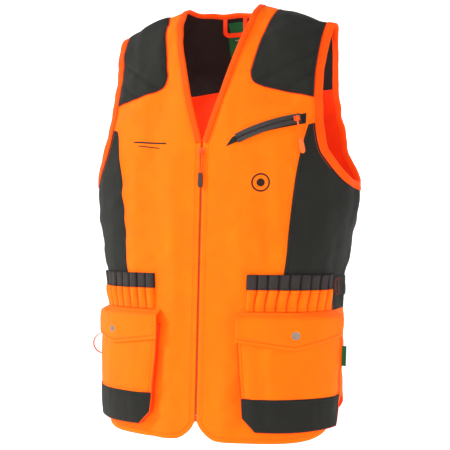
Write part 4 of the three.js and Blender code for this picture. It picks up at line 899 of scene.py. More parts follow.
FRONT = np.vstack([HEM, [[SIDE_SEAM_TURN, FLAP_TOP]], SIDE_FRONT, [ARM_TIP],
                   between(ARM_FRONT, SIDE_TIP + 2, SEAM_RUN - 2), [ARM_SEAM], [NECK_SEAM],
                   between(NECK_FRONT, 0, SEAM_RUN - 2)[::-1]])
UNDERARM = behind(ARM_BACK[ARM_BACK[:, 1] > BACK_SEAM_TOP[1] + 0.5])
SIDE = np.vstack([[[BACK_SEAM_TURN, FLAP_TOP]], behind(BACK_SEAM_TOP), UNDERARM,
                  ARM_FRONT[(ARM_FRONT[:, 0] < SIDE_SEAM_TURN - 1) & (ARM_FRONT[:, 1] < SIDE_TIP - 2)],
                  [ARM_TIP], SIDE_FRONT[::-1]])
BACK_HALF = np.vstack([[[0, FULL_RUN - 8], [55, FULL_RUN - 8], [68, FULL_RUN - 20], [79, FULL_RUN - 44],
                        [SIDE_SEAM_TURN, FULL_RUN - VENT_HEIGHT], [SIDE_SEAM_TURN, FULL_RUN - FLAP_TOP],
                        [180 - BACK_SEAM_TURN, FULL_RUN - FLAP_TOP], BACK_SEAM_TOP],
                       between(ARM_BACK, YOKE_SEAM + 2, BACK_SEAM_TOP[1] - 0.5)[::-1], [ARM_YOKE],
                       [[24, YOKE_SEAM + 14], [0, YOKE_SEAM + 18]]])
YOKE_HALF = np.vstack([[[0, YOKE_SEAM + 18], [24, YOKE_SEAM + 14], ARM_YOKE],
                       between(ARM_BACK, RIDGE + 1, YOKE_SEAM - 2)[::-1],
                       [[ARM_TURN, RIDGE], ARM_SEAM, NECK_SEAM],
                       NECK_FRONT[NECK_FRONT[:, 1] > SEAM_RUN + 2], NECK_BACK[1:]])


def make_shell():
    shell = lambda looks: lambda name, line, sign: dress(
        cloth_piece(name, line, 0, CLOTH, [LOOKS[look] for look in looks]), "vest",
        "shell_orange" if looks[0] == "shell" else "panel_dark")
    for piece in both("front_panel", shell(("shell", "lining_red")), FRONT):
        as_sheet(FRONT)
    for piece in both("side_panel", shell(("panel", "lining_dark")), SIDE):
        as_sheet(SIDE)
    back = closed_back(BACK_HALF)
    piece = dress(cloth_piece("cloth_back_panel", back, 0, CLOTH, [LOOKS["shell"], LOOKS["lining_red"]]),
                  "vest", "shell_orange", "back_panel")
    as_sheet(back)
    yoke = closed_back(YOKE_HALF)
    piece = dress(cloth_piece("cloth_back_yoke", yoke, 0, CLOTH, [LOOKS["panel"], LOOKS["lining_dark"]]),
                  "vest", "panel_dark", "back_yoke")
    as_sheet(yoke)


def closed_back(half):
    inner = half[half[:, 0] > 0]
    centre = half[half[:, 0] <= 0]
    low, high = centre[centre[:, 1].argmin()], centre[centre[:, 1].argmax()]
    first = inner[0]
    start, end = (high, low) if abs(first[1] - high[1]) < abs(first[1] - low[1]) else (low, high)
    return np.vstack([[start], inner, [end], (inner * [-1, 1])[::-1]])


THREAD_LEVEL = 0.12  # the height of a seam's thread over the cloth
ZIP_STITCHING = 11.0  # how far the fronts' stitching runs from the middle


def make_seams():
    """Topstitching along the seams, hems and edges."""
    orange, dark = LOOKS["thread_orange"], LOOKS["thread_dark"]
    for side, turn_round in (("left", lambda p: p), ("right", mirrored)):
        zip_line = np.array([(turn_at(ZIP_STITCHING, h), h)
                             for h in np.linspace(ZIP_BOTTOM - 6, NECK_HEIGHT + 2, 40)])
        hem = shifted(HEM[3:], 8.0)
        neck = shifted(NECK_FRONT[1:], -NECK_BINDING - 3.0)[:-3]
        arm = shifted(ARM_FRONT[:-1], ARM_BINDING + 2.5)[14:]
        seam = shifted(SIDE_FRONT, 3.0)
        stitches(f"seam_stitches_{side}", [turn_round(line) for line in
                 (zip_line, hem, neck, arm, seam)], THREAD_LEVEL, orange)
        back = np.vstack([[[2, YOKE_SEAM + 18], [24, YOKE_SEAM + 14]], [ARM_YOKE]])
        back_hem = np.array([[0.5, FULL_RUN - 18], [55, FULL_RUN - 18], [66, FULL_RUN - 30],
                             [77, FULL_RUN - 52]])
        stitches(f"back_stitches_{side}", [turn_round(shifted(back, -3.5)), turn_round(back_hem)],
                 THREAD_LEVEL, orange)
        side_low = np.array([[180 - BACK_SEAM_TURN - 1.0, r] for r in
                             np.linspace(BACK_SEAM_TOP[1] + 12, FULL_RUN - FLAP_TOP, 30)])
        stitches(f"side_stitches_{side}", [turn_round(side_low)], THREAD_LEVEL, orange)
        stitches(f"dark_stitches_{side}",
                 [turn_round(shifted(SIDE_FRONT, -3.0)), turn_round(shifted(back, 3.5))],
                 THREAD_LEVEL, dark, slot="panel_dark")


NECK_LINE = np.vstack([NECK_FRONT, NECK_BACK[1:]])
ARM_LINE = np.vstack([ARM_FRONT[:-1], ARM_BACK])


def binding_section(width, sign):
    """Folded tape round an edge: (across, height) points, the cloth on the side that sign gives."""
    inner = width - 1.5
    rows = [(width, 0.3), (width, 1.1), (width - 0.8, 1.5), (width / 2, 1.7), (1.5, 1.7),
            (-0.6, 1.3), (-1.6, 0.2), (-1.6, -1.8), (-0.6, -2.9), (1.5, -3.3), (inner, -3.1),
            (inner, -2.1), (0.6, -1.95), (-0.1, -1.5), (-0.1, 0.0), (0.6, 0.35)]
    return [(sign * across, height) for across, height in rows]


def make_bindings():
    full = np.vstack([NECK_LINE, mirrored(NECK_LINE)[1:]])
    dress(sweep("cloth_neck_binding", full, binding_section(NECK_BINDING, -1), [LOOKS["binding"]]),
          "vest", "binding_orange", "neck_binding")
    both("armhole_binding", lambda name, line, sign: dress(
        sweep(name, line, binding_section(ARM_BINDING, 1), [LOOKS["binding"]]),
        "vest", "binding_orange"), ARM_LINE)
    stitches("neck_binding_stitches", [shifted(full, -NECK_BINDING + 1.4)], 1.85, LOOKS["thread_orange"],
             slot="binding_orange")
    for side, line in (("left", ARM_LINE), ("right", mirrored(ARM_LINE))):
        stitches(f"armhole_binding_stitches_{side}", [shifted(line, ARM_BINDING - 1.4)], 1.85,
                 LOOKS["thread_orange"], slot="binding_orange")


QUILTING = ((158.0, 0.62), (212.0, 0.62), (262.0, 0.62))  # where each row starts, and its slope


def quilt_distance(turn, run):
    u, v = np.abs(turn) * TURN_MM, np.asarray(run) - (RIDGE - 200)
    rows = [np.abs(v - (u - start) * slope - 60) / math.hypot(1, slope) for start, slope in QUILTING]
    return np.min(rows, axis=0)


def make_shoulders():
    patch_arm = shifted(between(ARM_LINE, NECK_HEIGHT + 62, SEAM_RUN - 4), ARM_BINDING + 0.5)
    inner = spline([(25.2, SEAM_RUN - 3), (23, RIDGE - 90), (19.2, RIDGE - 160), (18.4, RIDGE - 176),
                    (19.8, RIDGE - 188), (24, RIDGE - 192)], 40)
    patch = np.vstack([inner, patch_arm, [[patch_arm[-1][0] - 0.3, SEAM_RUN - 3]]])

    thick = size_of("padding")

    def padding(turn, run, edge):
        crown = thick * (1 - np.exp(-edge / 5.0)) - thick
        channel = np.exp(-(quilt_distance(turn, run) / 2.2) ** 2) * (edge > 2)
        return crown + 0.3 - 1.7 * channel

    def pad(name, line, sign):
        # The shade argument paints shade along the quilting channels.
        piece = cloth_piece(name, line, OVER + 3.2, 2.6, [LOOKS["panel"]], padding, spacing=4.0,
                            shade=lambda t, r, e: 0.5 * np.exp(-(quilt_distance(t, r) / 1.3) ** 2))
        return dress(piece, "vest", "panel_dark")

    both("shoulder_patch", pad, patch)
    for side, line in (("left", patch), ("right", mirrored(patch))):
        border = np.vstack([line, line[:1]])
        sweep_piece = sweep(f"patch_piping_{side}", resampled(border, 6.0, False),
                            oval(1.5, 1.1, (-0.9, OVER + 0.5)), [LOOKS["thread_red"]], spacing=5.0)
        dress(sweep_piece, "vest", "binding_orange")
        stitches(f"patch_stitches_{side}", [shifted(border, 3.0)], OVER + 2.35, LOOKS["thread_dark"],
                 slot="panel_dark")


FACING_WIDTH = 34


def make_lining():
    back_arm = ARM_BACK[(ARM_BACK[:, 1] > RIDGE + 8) & (ARM_BACK[:, 1] < YOKE_SEAM - 40)]
    neck = NECK_BACK[NECK_BACK[:, 1] > RIDGE + 9]
    half = np.vstack([[[0, YOKE_SEAM - 14], [30, YOKE_SEAM - 32]], shifted(back_arm, 1)[::-1],
                      [[NECK_TURN + 1, RIDGE + 8]], shifted(neck, -1)])
    dress(cloth_piece("cloth_yoke_lining", closed_back(half), UNDER, TRIM, [LOOKS["lining_dark"]]),
          "vest", "lining_dark", "back_yoke_lining")
    start = 3.5 + TAPE_WIDTH + 3
    inner = np.vstack([[(turn_at(start, ZIP_BOTTOM), ZIP_BOTTOM + 4),
                        (turn_at(start, NECK_HEIGHT), NECK_HEIGHT + 4)],
                       shifted(between(NECK_FRONT, NECK_HEIGHT + 60, SEAM_RUN - 20), -2)])
    facing = np.vstack([inner, shifted(inner, -FACING_WIDTH)[::-1]])
    both("front_facing", lambda name, line, sign: dress(
        cloth_piece(name, line, UNDER, TRIM, [LOOKS["lining_red"]]), "vest", "lining_red"), facing)


def zip_strip(start, end, low, high):
    heights = np.linspace(low, high, 30)
    return np.vstack([[(turn_at(start, h), h) for h in heights],
                      [(turn_at(end, h), h) for h in heights[::-1]]])


TOOTH = ([(-1.95, -0.76, -0.75), (2.0, -0.76, -0.75), (2.0, 0.76, -0.75), (-1.95, 0.76, -0.75),
          (-1.8, -0.66, 0.75), (1.85, -0.7, 0.75), (1.85, 0.7, 0.75), (-1.8, 0.66, 0.75)],
         [(3, 2, 1, 0), (4, 5, 6, 7), (0, 1, 5, 4), (1, 2, 6, 5), (2, 3, 7, 6), (3, 0, 4, 7)])
TOOTH_PITCH = 3.0
TOOTH_MIDDLE = -CLOTH - 0.1 - 0.75
ZIP_TOP = NECK_HEIGHT - SLIDER_LENGTH - 2


def make_centre_zip():
    both("zip_tape", lambda name, line, sign: dress(
        cloth_piece(name, line, UNDER, 0.8, [LOOKS["tape"]]), "vest", "zip_tape_orange"),
        zip_strip(0.7, TOOTH_OUTER + 0.3 + TAPE_WIDTH, ZIP_BOTTOM, NECK_HEIGHT - 3)[::-1])
    for side, sign in (("left", 1), ("right", -1)):
        low = ZIP_BOTTOM + BOX_HEIGHT + 1.5 + (TOOTH_PITCH / 2 if sign > 0 else 0)
        places = []
        for height in np.arange(low, ZIP_TOP - 1, TOOTH_PITCH):
            turn = turn_at(sign * 1.1, height)
            out = normals(turn, height)
            up = unit(slopes(turn, height)[1])
            right = unit(np.cross(up, out))
            places.append((surface(turn, height) + out * TOOTH_MIDDLE, -sign * right, up, out))
        dress(beads(f"zip_teeth_row_{side}", places, *TOOTH, [LOOKS["teeth"]]), "vest", "zip_plastic_orange",
              f"zip_teeth_{side}")
    for node, look in (("zip_stop_left", "teeth"), ("zip_stop_right", "teeth"), ("zip_box", "teeth"),
                       ("zip_pin", "teeth"), ("zip_slider", "slider"), ("chest_slider", "slider")):
        finish_node(node, look)
    pull("zip", "tip_dark", "pull_tip_dark")


def finish_node(node, look):
    """Gives a CAD node that keeps its shape its finish."""
    piece = bpy.data.objects[node]
    piece.data.materials.clear()
    piece.data.materials.append(LOOKS[look])


def corners(node):
    low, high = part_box(node)
    return np.array(low[:]), np.array(high[:])


def pull(which, tip_look, tip_slot):
    """A braided cord looped through the slider's bail, and the grip moulded on its end."""
    body = "zip_pull" if which == "zip" else "chest_pull"
    cord_node, tip_node = f"{which}_pull_cord", f"{which}_pull_tip"
    finish_node(tip_node, tip_look)
    source = bpy.data.objects[cord_node]
    points = np.empty(len(source.data.vertices) * 3)
    source.data.vertices.foreach_get("co", points)
    points = points.reshape(-1, 3)
    centre = points.mean(0)
    _, _, ways = np.linalg.svd(points - centre, full_matrices=False)
    down, across, out = ways
    tip_low, tip_high = corners(tip_node)
    if np.dot(down, (tip_low + tip_high) / 2 - centre) < 0:
        down = -down
    local = (points - centre) @ np.array([across, down, out]).T
    top, foot = local[:, 1].min(), local[:, 1].max()
    half = (local[:, 0].max() - local[:, 0].min()) / 2 - CORD_DIAMETER * MM / 2
    top += CORD_DIAMETER * MM / 2
    shape = [(-0.62, foot), (-0.66, foot * 0.5), (-0.95, -0.2 * foot), (-1, top + half),
             (-0.7, top + half * 0.3), (0, top), (0.7, top + half * 0.3), (1, top + half),
             (0.95, -0.2 * foot), (0.66, foot * 0.5), (0.62, foot)]
    flat = spline([(x * half, y) for x, y in shape], 90)
    run = centre + flat[:, :1] * across + flat[:, 1:] * down
    ahead = unit(np.gradient(run, axis=0))
    side = unit(np.cross(ahead, out))
    rows = []
    sides = 10
    for n, (p, s) in enumerate(zip(run, side)):
        for k in range(sides):
            angle = 2 * math.pi * k / sides
            braid = 1 + 0.07 * math.sin(2 * angle + n * 0.9) * math.sin(2 * angle - n * 0.9)
            rows.append(p + (s * math.cos(angle) + out * math.sin(angle))
                        * CORD_DIAMETER * MM / 2 * braid * 0.97)
    faces = [(sides * n + k, sides * n + (k + 1) % sides,
              sides * (n + 1) + (k + 1) % sides, sides * (n + 1) + k)
             for n in range(len(run) - 1) for k in range(sides)]
    faces += [tuple(range(sides - 1, -1, -1)), tuple(range(sides * (len(run) - 1), sides * len(run)))]
    lay = np.array([(k * 0.7 * MM, n * 0.7 * MM, 0.004) for n in range(len(run)) for k in range(sides)])
    piece = mesh_object(f"braided_{which}_pull", rows, faces,
                        [("lay", lay), ("crease", np.zeros(len(rows)))], [LOOKS["cord"]])
    outward(piece)
    dress(piece, body, "pull_cord_orange", cord_node)


def on_chest(x, up):
    return on_front(x, NECK_HEIGHT + up)


def make_chest_pocket():
    low = spline([WELT_START, WELT_MIDDLE, WELT_END], 24)
    top = spline([(WELT_START[0] + 10, WELT_START[1] + 15),
                  (WELT_MIDDLE[0], WELT_MIDDLE[1] + WELT_HEIGHT - 3),
                  (WELT_END[0], WELT_END[1] + WELT_HEIGHT)], 24)
    welt = np.array([on_chest(*p) for p in np.vstack([low, top[::-1]])])
    dress(cloth_piece("cloth_chest_welt", welt, OVER + TRIM, TRIM, [LOOKS["panel"]], spacing=3.0),
          "vest", "panel_dark", "chest_welt")
    rows = [shifted(welt[4:24], 1.6), shifted(welt[24:42], 1.6)]
    stitches("welt_stitches", rows, OVER + TRIM + 0.1, LOOKS["thread_dark"], slot="panel_dark")
    for node in ("chest_zip_upper", "chest_zip_lower"):
        finish_node(node, "teeth_dark")
    start = (WELT_START[0] + 18, WELT_START[1] + 13)
    middle = (WELT_MIDDLE[0], WELT_MIDDLE[1] + 8)
    end = (WELT_END[0] - 7, WELT_END[1] + 8)
    ends = [on_chest(*p) for p in (start, middle, end)]
    a, b, c = [surface(*p) + normals(*p) * CHEST_ZIP_LEVEL for p in ends]
    u, v = b - a, c - a
    axis = np.cross(u, v)
    centre = a + (np.cross(axis, u) * v.dot(v) + np.cross(v, axis) * u.dot(u)) / (2 * axis.dot(axis))
    axis, across, radius = unit(axis), unit(a - centre), np.linalg.norm(a - centre)
    ahead = np.cross(axis, across)
    sweep_angle = math.atan2((c - centre).dot(ahead), (c - centre).dot(across))
    count = int(radius * abs(sweep_angle) / 1.9)
    for row, sign in (("upper", 1), ("lower", -1)):
        places = []
        for n in range(3, count - 8):
            angle = sweep_angle * (n + (0.5 if sign > 0 else 0)) / count
            out = across * math.cos(angle) + ahead * math.sin(angle)
            along = unit(np.cross(axis, out)) * np.sign(sweep_angle)
            places.append((centre + out * (radius + 0.3) + axis * sign * 0.95, -sign * axis, along, out))
        teeth = [(x * 0.36, y * 0.8, z * 0.75) for x, y, z in TOOTH[0]]
        dress(beads(f"chest_teeth_{row}", places, teeth, TOOTH[1], [LOOKS["teeth_dark"]]),
              "vest", "zip_plastic_dark")
    pull("chest", "tip_orange", "pull_tip_orange")
    bag_start, bag_end = WELT_START[0] + 8, WELT_END[0] - 22
    bag = np.array([on_chest(*p) for p in ((bag_start, -141), (bag_end - 8, -124), (bag_end, 24),
                                            (bag_start + 40, 14), (bag_start, 2))])
    dress(cloth_piece("cloth_chest_bag", bag, UNDER - 1.4, 0.8, [LOOKS["lining_red"]]), "vest", "lining_red",
          "chest_pocket_bag")


def pocket_side(height):
    return POCKET_START + POCKET_TAPER * np.clip((POCKET_TOP - height) / (POCKET_TOP - FOOT_CORNER), 0, 1)


def pocket_edge(top):
    """The pocket's edge from its inner top corner, down, along the foot and up the outer side."""
    heights = np.linspace(top, FOOT_CORNER, 8) if top > FOOT_CORNER + 5 else [top, FOOT_CORNER]
    points = [spot(pocket_side(h), h) for h in heights]
    points += [spot(POCKET_START + POCKET_TAPER + 20, POCKET_BOTTOM),
               spot(FLAP_MIDDLE, POCKET_BOTTOM - 1),
               spot(POCKET_END - 9, POCKET_BOTTOM + 2), spot(POCKET_END, POCKET_BOTTOM + 26)]
    points += [spot(POCKET_END, h) for h in np.linspace(POCKET_BOTTOM + 40, top, 6)]
    return np.array(points)


def pocket_bulge(turn, run, edge):
    """The face of a bellows pocket: full in the middle, with soft upright folds."""
    u = np.abs(turn) * TURN_MM
    full = 3.4 * (1 - np.exp(-edge / 16.0)) * (1 - 0.6 * step(POCKET_TOP - 60, POCKET_TOP, run))
    folds = noise(np.stack([u / 19 + run / 190, run / 120, np.sign(turn) * 3.3], -1), 31) * 1.7
    folds = folds + 0.7 * noise(np.stack([u / 9, run / 60, np.sign(turn) * 3.3], -1), 33)
    return full + folds * (1 - np.exp(-edge / 12.0)) - 1.2


def make_pockets():
    face_line = pocket_edge(POCKET_TOP)
    level = POCKET_DEPTH

    def face(name, line, sign):
        piece = cloth_piece(name, line, level, 1.2, [LOOKS["shell"], LOOKS["lining_red"]], pocket_bulge)
        return dress(piece, "vest", "shell_orange")

    faces = both("pocket_face", face, face_line)
    for piece in faces:
        as_sheet(face_line)

    # The bellows walls are made of the darker, redder inner side of the orange: painted shade on the walls.
    def gusset(name, line, sign):
        section = [(0.2, 0.4), (-0.6, 1.2), (2.6, 4.6), (2.8, 5.6), (-0.9, 8.0), (-0.2, 10.4), (0.9, 10.4),
                   (0.6, 8.6), (4.2, 5.9), (4.2, 4.4), (0.9, 1.4), (1.3, 0.4)]
        return dress(sweep(name, line, section, [LOOKS["lining_red"]], spacing=4.0), "vest", "shell_orange")

    both("pocket_gusset", gusset, pocket_edge(POCKET_TOP - 1))
    patch_line = pocket_edge(PATCH_TOP)

    def patch_relief(turn, run, edge):
        away = edge_distance(np.stack([turn, run], 1), np.asarray(
            face_line if np.median(turn) > 0 else mirrored(face_line)))
        return pocket_bulge(turn, run, away)

    both("pocket_patch", lambda name, line, sign: dress(
        cloth_piece(name, line, level + LAYER + TRIM, TRIM, [LOOKS["panel"]], patch_relief, spacing=4.0),
        "vest", "panel_dark"), patch_line)
    for side, turned in (("left", lambda p: p), ("right", mirrored)):
        rim = turned(pocket_edge(POCKET_TOP - 2))
        dress(sweep(f"pocket_piping_{side}", rim, oval(2.0, 1.9, (-0.5, level - 1.0)), [LOOKS["binding"]]),
              "vest", "binding_orange")
        top = turned(np.array([spot(s, PATCH_TOP) for s in
                               np.linspace(pocket_side(PATCH_TOP) + 2, POCKET_END - 1, 30)]))
        dress(sweep(f"patch_top_piping_{side}", top, oval(1.5, 1.3, (0.7, level - 0.2)),
                    [LOOKS["thread_red"]], over=lambda t, r: pocket_bulge(t, r, np.minimum(12, edge_distance(
                        np.stack([t, r], 1), turned(face_line))))), "vest", "binding_orange")
        over = lambda t, r: level + 0.15 + pocket_bulge(
            t, r, edge_distance(np.stack([t, r], 1), turned(face_line)))
        mouth = turned(np.array([spot(s, POCKET_TOP - 14) for s in
                                 np.linspace(POCKET_START + 6, POCKET_END - 5, 30)]))
        stitches(f"pocket_stitches_{side}", [shifted(rim, 5.0), mouth], over, LOOKS["thread_orange"])
        stitches(f"patch_stitches_low_{side}", [shifted(top, -4.0) if side == "left" else shifted(top, 4.0)],
                 over_plus(over, LAYER + TRIM), LOOKS["thread_dark"], slot="panel_dark")
    make_flaps()


def over_plus(over, by):
    return lambda turn, run: over(turn, run) + by


def flap_over(turn, run):
    """The height of the flap's outer face: it leads out from its seam, folds and hangs."""
    out = OVER + 1.5 + (FLAP_OVER - OVER) * step(FLAP_TOP + 1, FLAP_FOLD - 1, run)
    return out


def flap_relief(turn, run, edge):
    u = np.abs(turn) * TURN_MM
    below = 1 - step(FLAP_FOLD - 12, FLAP_FOLD, run)
    wave = 0.9 * noise(np.stack([u / 26, run / 60, np.sign(turn) * 5.1], -1), 41)
    return below * (wave + 1.1 * (1 - np.exp(-edge / 9.0)) - 0.7)


FLAP_CLOTH = 1.4


def make_flaps():
    start, end = POCKET_START - FLAP_OVERHANG, POCKET_END + FLAP_OVERHANG
    low = [spot(s, h) for s, h in zip(np.linspace(start, FLAP_MIDDLE, 8),
                                      np.linspace(FLAP_INNER_FOOT, FLAP_POINT, 8))]
    low += [spot(s, h) for s, h in zip(np.linspace(FLAP_MIDDLE, end, 8)[1:],
                                        np.linspace(FLAP_POINT, FLAP_OUTER_FOOT, 8)[1:])]
    top = [spot(s, FLAP_TOP) for s in np.linspace(end - 1, start + 1, 16)]
    outline = np.array(low + top)
    for side, line in (("left", outline), ("right", mirrored(outline))):
        piece = cloth_piece(f"cloth_pocket_flap_{side}", line, flap_over, FLAP_CLOTH,
                            [LOOKS["shell"], LOOKS["lining_red"]], flap_relief, spacing=4.0)
        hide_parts(f"pocket_flap_{side}", f"flap_header_{side}")
        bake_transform(piece)
        over = lambda t, r: flap_over(t, r) + 0.15 + flap_relief(t, r, np.full(np.shape(t), 5.0))
        lowest = np.array(low if side == "left" else mirrored(low))
        lines = [shifted(lowest, 5.0), shifted(lowest, 7.0)]
        for n, part in enumerate(lines):
            stitches(f"flap_stitches_{side}_{n}", [part], over, LOOKS["thread_orange"], body=f"flap_{side}")
        seam = [spot(s, FLAP_TOP + 4.0) for s in np.linspace(POCKET_START + 1, POCKET_END - 1, 30)]
        seam = np.array(seam if side == "left" else mirrored(seam))
        stitches(f"flap_seam_stitches_{side}", [seam], 0.15, LOOKS["thread_orange"])
        for part in ("cap", "socket", "stud"):
            finish_node(f"snap_{part}_{side}", "snap")


def relief_strip(name, sign, start, end, bottom, top, height, thick, looks, shade, columns, rows):
    """A strip of folded cloth: height(s, v) over the draped cloth for a distance s and a height v."""
    distance, level = np.linspace(start, end, columns), np.linspace(bottom, top, rows)
    turn = np.array([around(d, (bottom + top) / 2) for d in distance]) * sign
    turn, level_grid = np.meshgrid(turn, level, indexing="ij")
    share = np.broadcast_to(distance[:, None], turn.shape)
    over = height(share, level_grid)
    outer = lie(turn, level_grid, over)
    inner = lie(turn, level_grid, np.maximum(over - thick, 0.1))
    faces = sheet_faces(columns, rows)
    if sign < 0:
        faces = [face[::-1] for face in faces]
    border = np.minimum(level_grid - bottom, top - level_grid)
    lay = np.stack([share, level_grid, border], -1).reshape(-1, 3) * MM
    crease = shade(share, level_grid).reshape(-1)
    piece = mesh_object(name, np.vstack([outer.reshape(-1, 3), inner.reshape(-1, 3)]), faces,
                        [("lay", np.vstack([lay, lay])), ("crease", np.tile(crease, 2))], looks)
    return piece


LOOP_SIZES = np.array([0.2, -0.3, 0.5, 0.0, -0.4, 0.35, -0.2, 0.4, -0.1])  # how uneven the loops are
BAND_END = BAND_START + LOOP_COUNT * LOOP_PITCH


def lobe(distance):
    """0 at a gap between loops and 1 at the crown of one."""
    place = (distance - BAND_START) / LOOP_PITCH
    return np.abs(np.sin(np.clip(place, 0, LOOP_COUNT) * math.pi))


def make_loops():
    for side, sign in (("left", 1), ("right", -1)):
        def band_height(s, v):
            which = np.clip(((s - BAND_START) / LOOP_PITCH).astype(int), 0, LOOP_COUNT - 1)
            crown = 3.2 + LOOP_SIZES[which]
            slack = 0.45 * np.sin(which * 2.4 + v / 9.0)
            return OVER + 1.3 + (crown + slack) * np.minimum(1, 1.35 * lobe(s)) ** 0.7

        # The shade argument paints shade into the gaps between the loops.
        dress(relief_strip(f"loop_band_{side}", sign, BAND_START, BAND_END, BAND_BOTTOM,
                           BAND_BOTTOM + BAND_HEIGHT, band_height, 1.1, [LOOKS["loops"]],
                           lambda s, v: np.clip(1.25 - 3.2 * lobe(s), 0, 1), 19 * LOOP_COUNT + 1, 11),
              "vest", "loop_elastic_dark", f"cartridge_band_{side}")

        def fold_place(s, v):
            fall = (BAND_BOTTOM - v) / (BAND_BOTTOM - FLAP_TOP)
            return s + 4.5 * np.sin(fall * 1.9) * (1 if sign > 0 else 0.6)

        def pleat_height(s, v):
            fall = (BAND_BOTTOM - v) / (BAND_BOTTOM - FLAP_TOP)
            rise = 5.6 * (1 - 0.62 * step(0.35, 1.05, fall)) * (0.75 + 0.25 * np.sin(fall * 3.0 + 0.4))
            ends = step(BAND_START, BAND_START + 3, s) * (1 - step(BAND_END - 3, BAND_END, s))
            return OVER + 1.0 + rise * lobe(fold_place(s, v)) ** 0.8 * ends

        # The shade argument paints shade into the valleys between the pleats.
        dress(relief_strip(f"pleats_{side}", sign, BAND_START, BAND_END, FLAP_TOP + 0.5, BAND_BOTTOM - 0.5,
                           pleat_height, 1.0, [LOOKS["shell"]],
                           lambda s, v: np.clip(1.1 - 2.6 * lobe(fold_place(s, v)), 0, 1),
                           17 * LOOP_COUNT + 1, 13),
              "vest", "shell_orange", f"cartridge_pleats_{side}")

        def rib_height(s, v):
            ribs = 0.35 * np.sin(s * 2 * math.pi / 3.1 + 0.6 * np.sin(v / 5.0))
            edge = np.minimum(v - ELASTIC_BOTTOM, ELASTIC_BOTTOM + ELASTIC_HEIGHT - v)
            return OVER + 1.7 + ribs * np.clip(edge / 3, 0, 1) - 0.8 * np.exp(-edge / 1.2)

        # The shade argument paints shade into the valleys between the ribs.
        dress(relief_strip(f"ribbed_elastic_{side}", sign, ELASTIC_START, ELASTIC_START + ELASTIC_LENGTH,
                           ELASTIC_BOTTOM, ELASTIC_BOTTOM + ELASTIC_HEIGHT, rib_height, 1.5,
                           [LOOKS["elastic"]],
                           lambda s, v: 0.4 * np.clip(-np.sin(s * 2 * math.pi / 3.1), 0, 1), 140, 15),
              "vest", "waist_elastic_dark", f"waist_elastic_{side}")
        box = [(ELASTIC_START + 8, ELASTIC_BOTTOM + 4), (ELASTIC_START + 26, ELASTIC_BOTTOM + 4),
               (ELASTIC_START + 26, ELASTIC_BOTTOM + 29), (ELASTIC_START + 8, ELASTIC_BOTTOM + 29)]
        box = np.array([spot(sign * s, h) for s, h in box + box[:1]])
        stitches(f"elastic_stitches_{side}", [box], OVER + 2.2, LOOKS["thread_red"],
                 slot="waist_elastic_dark")


RIBBON = 1.1  # the thickness of webbing, ribbon and label


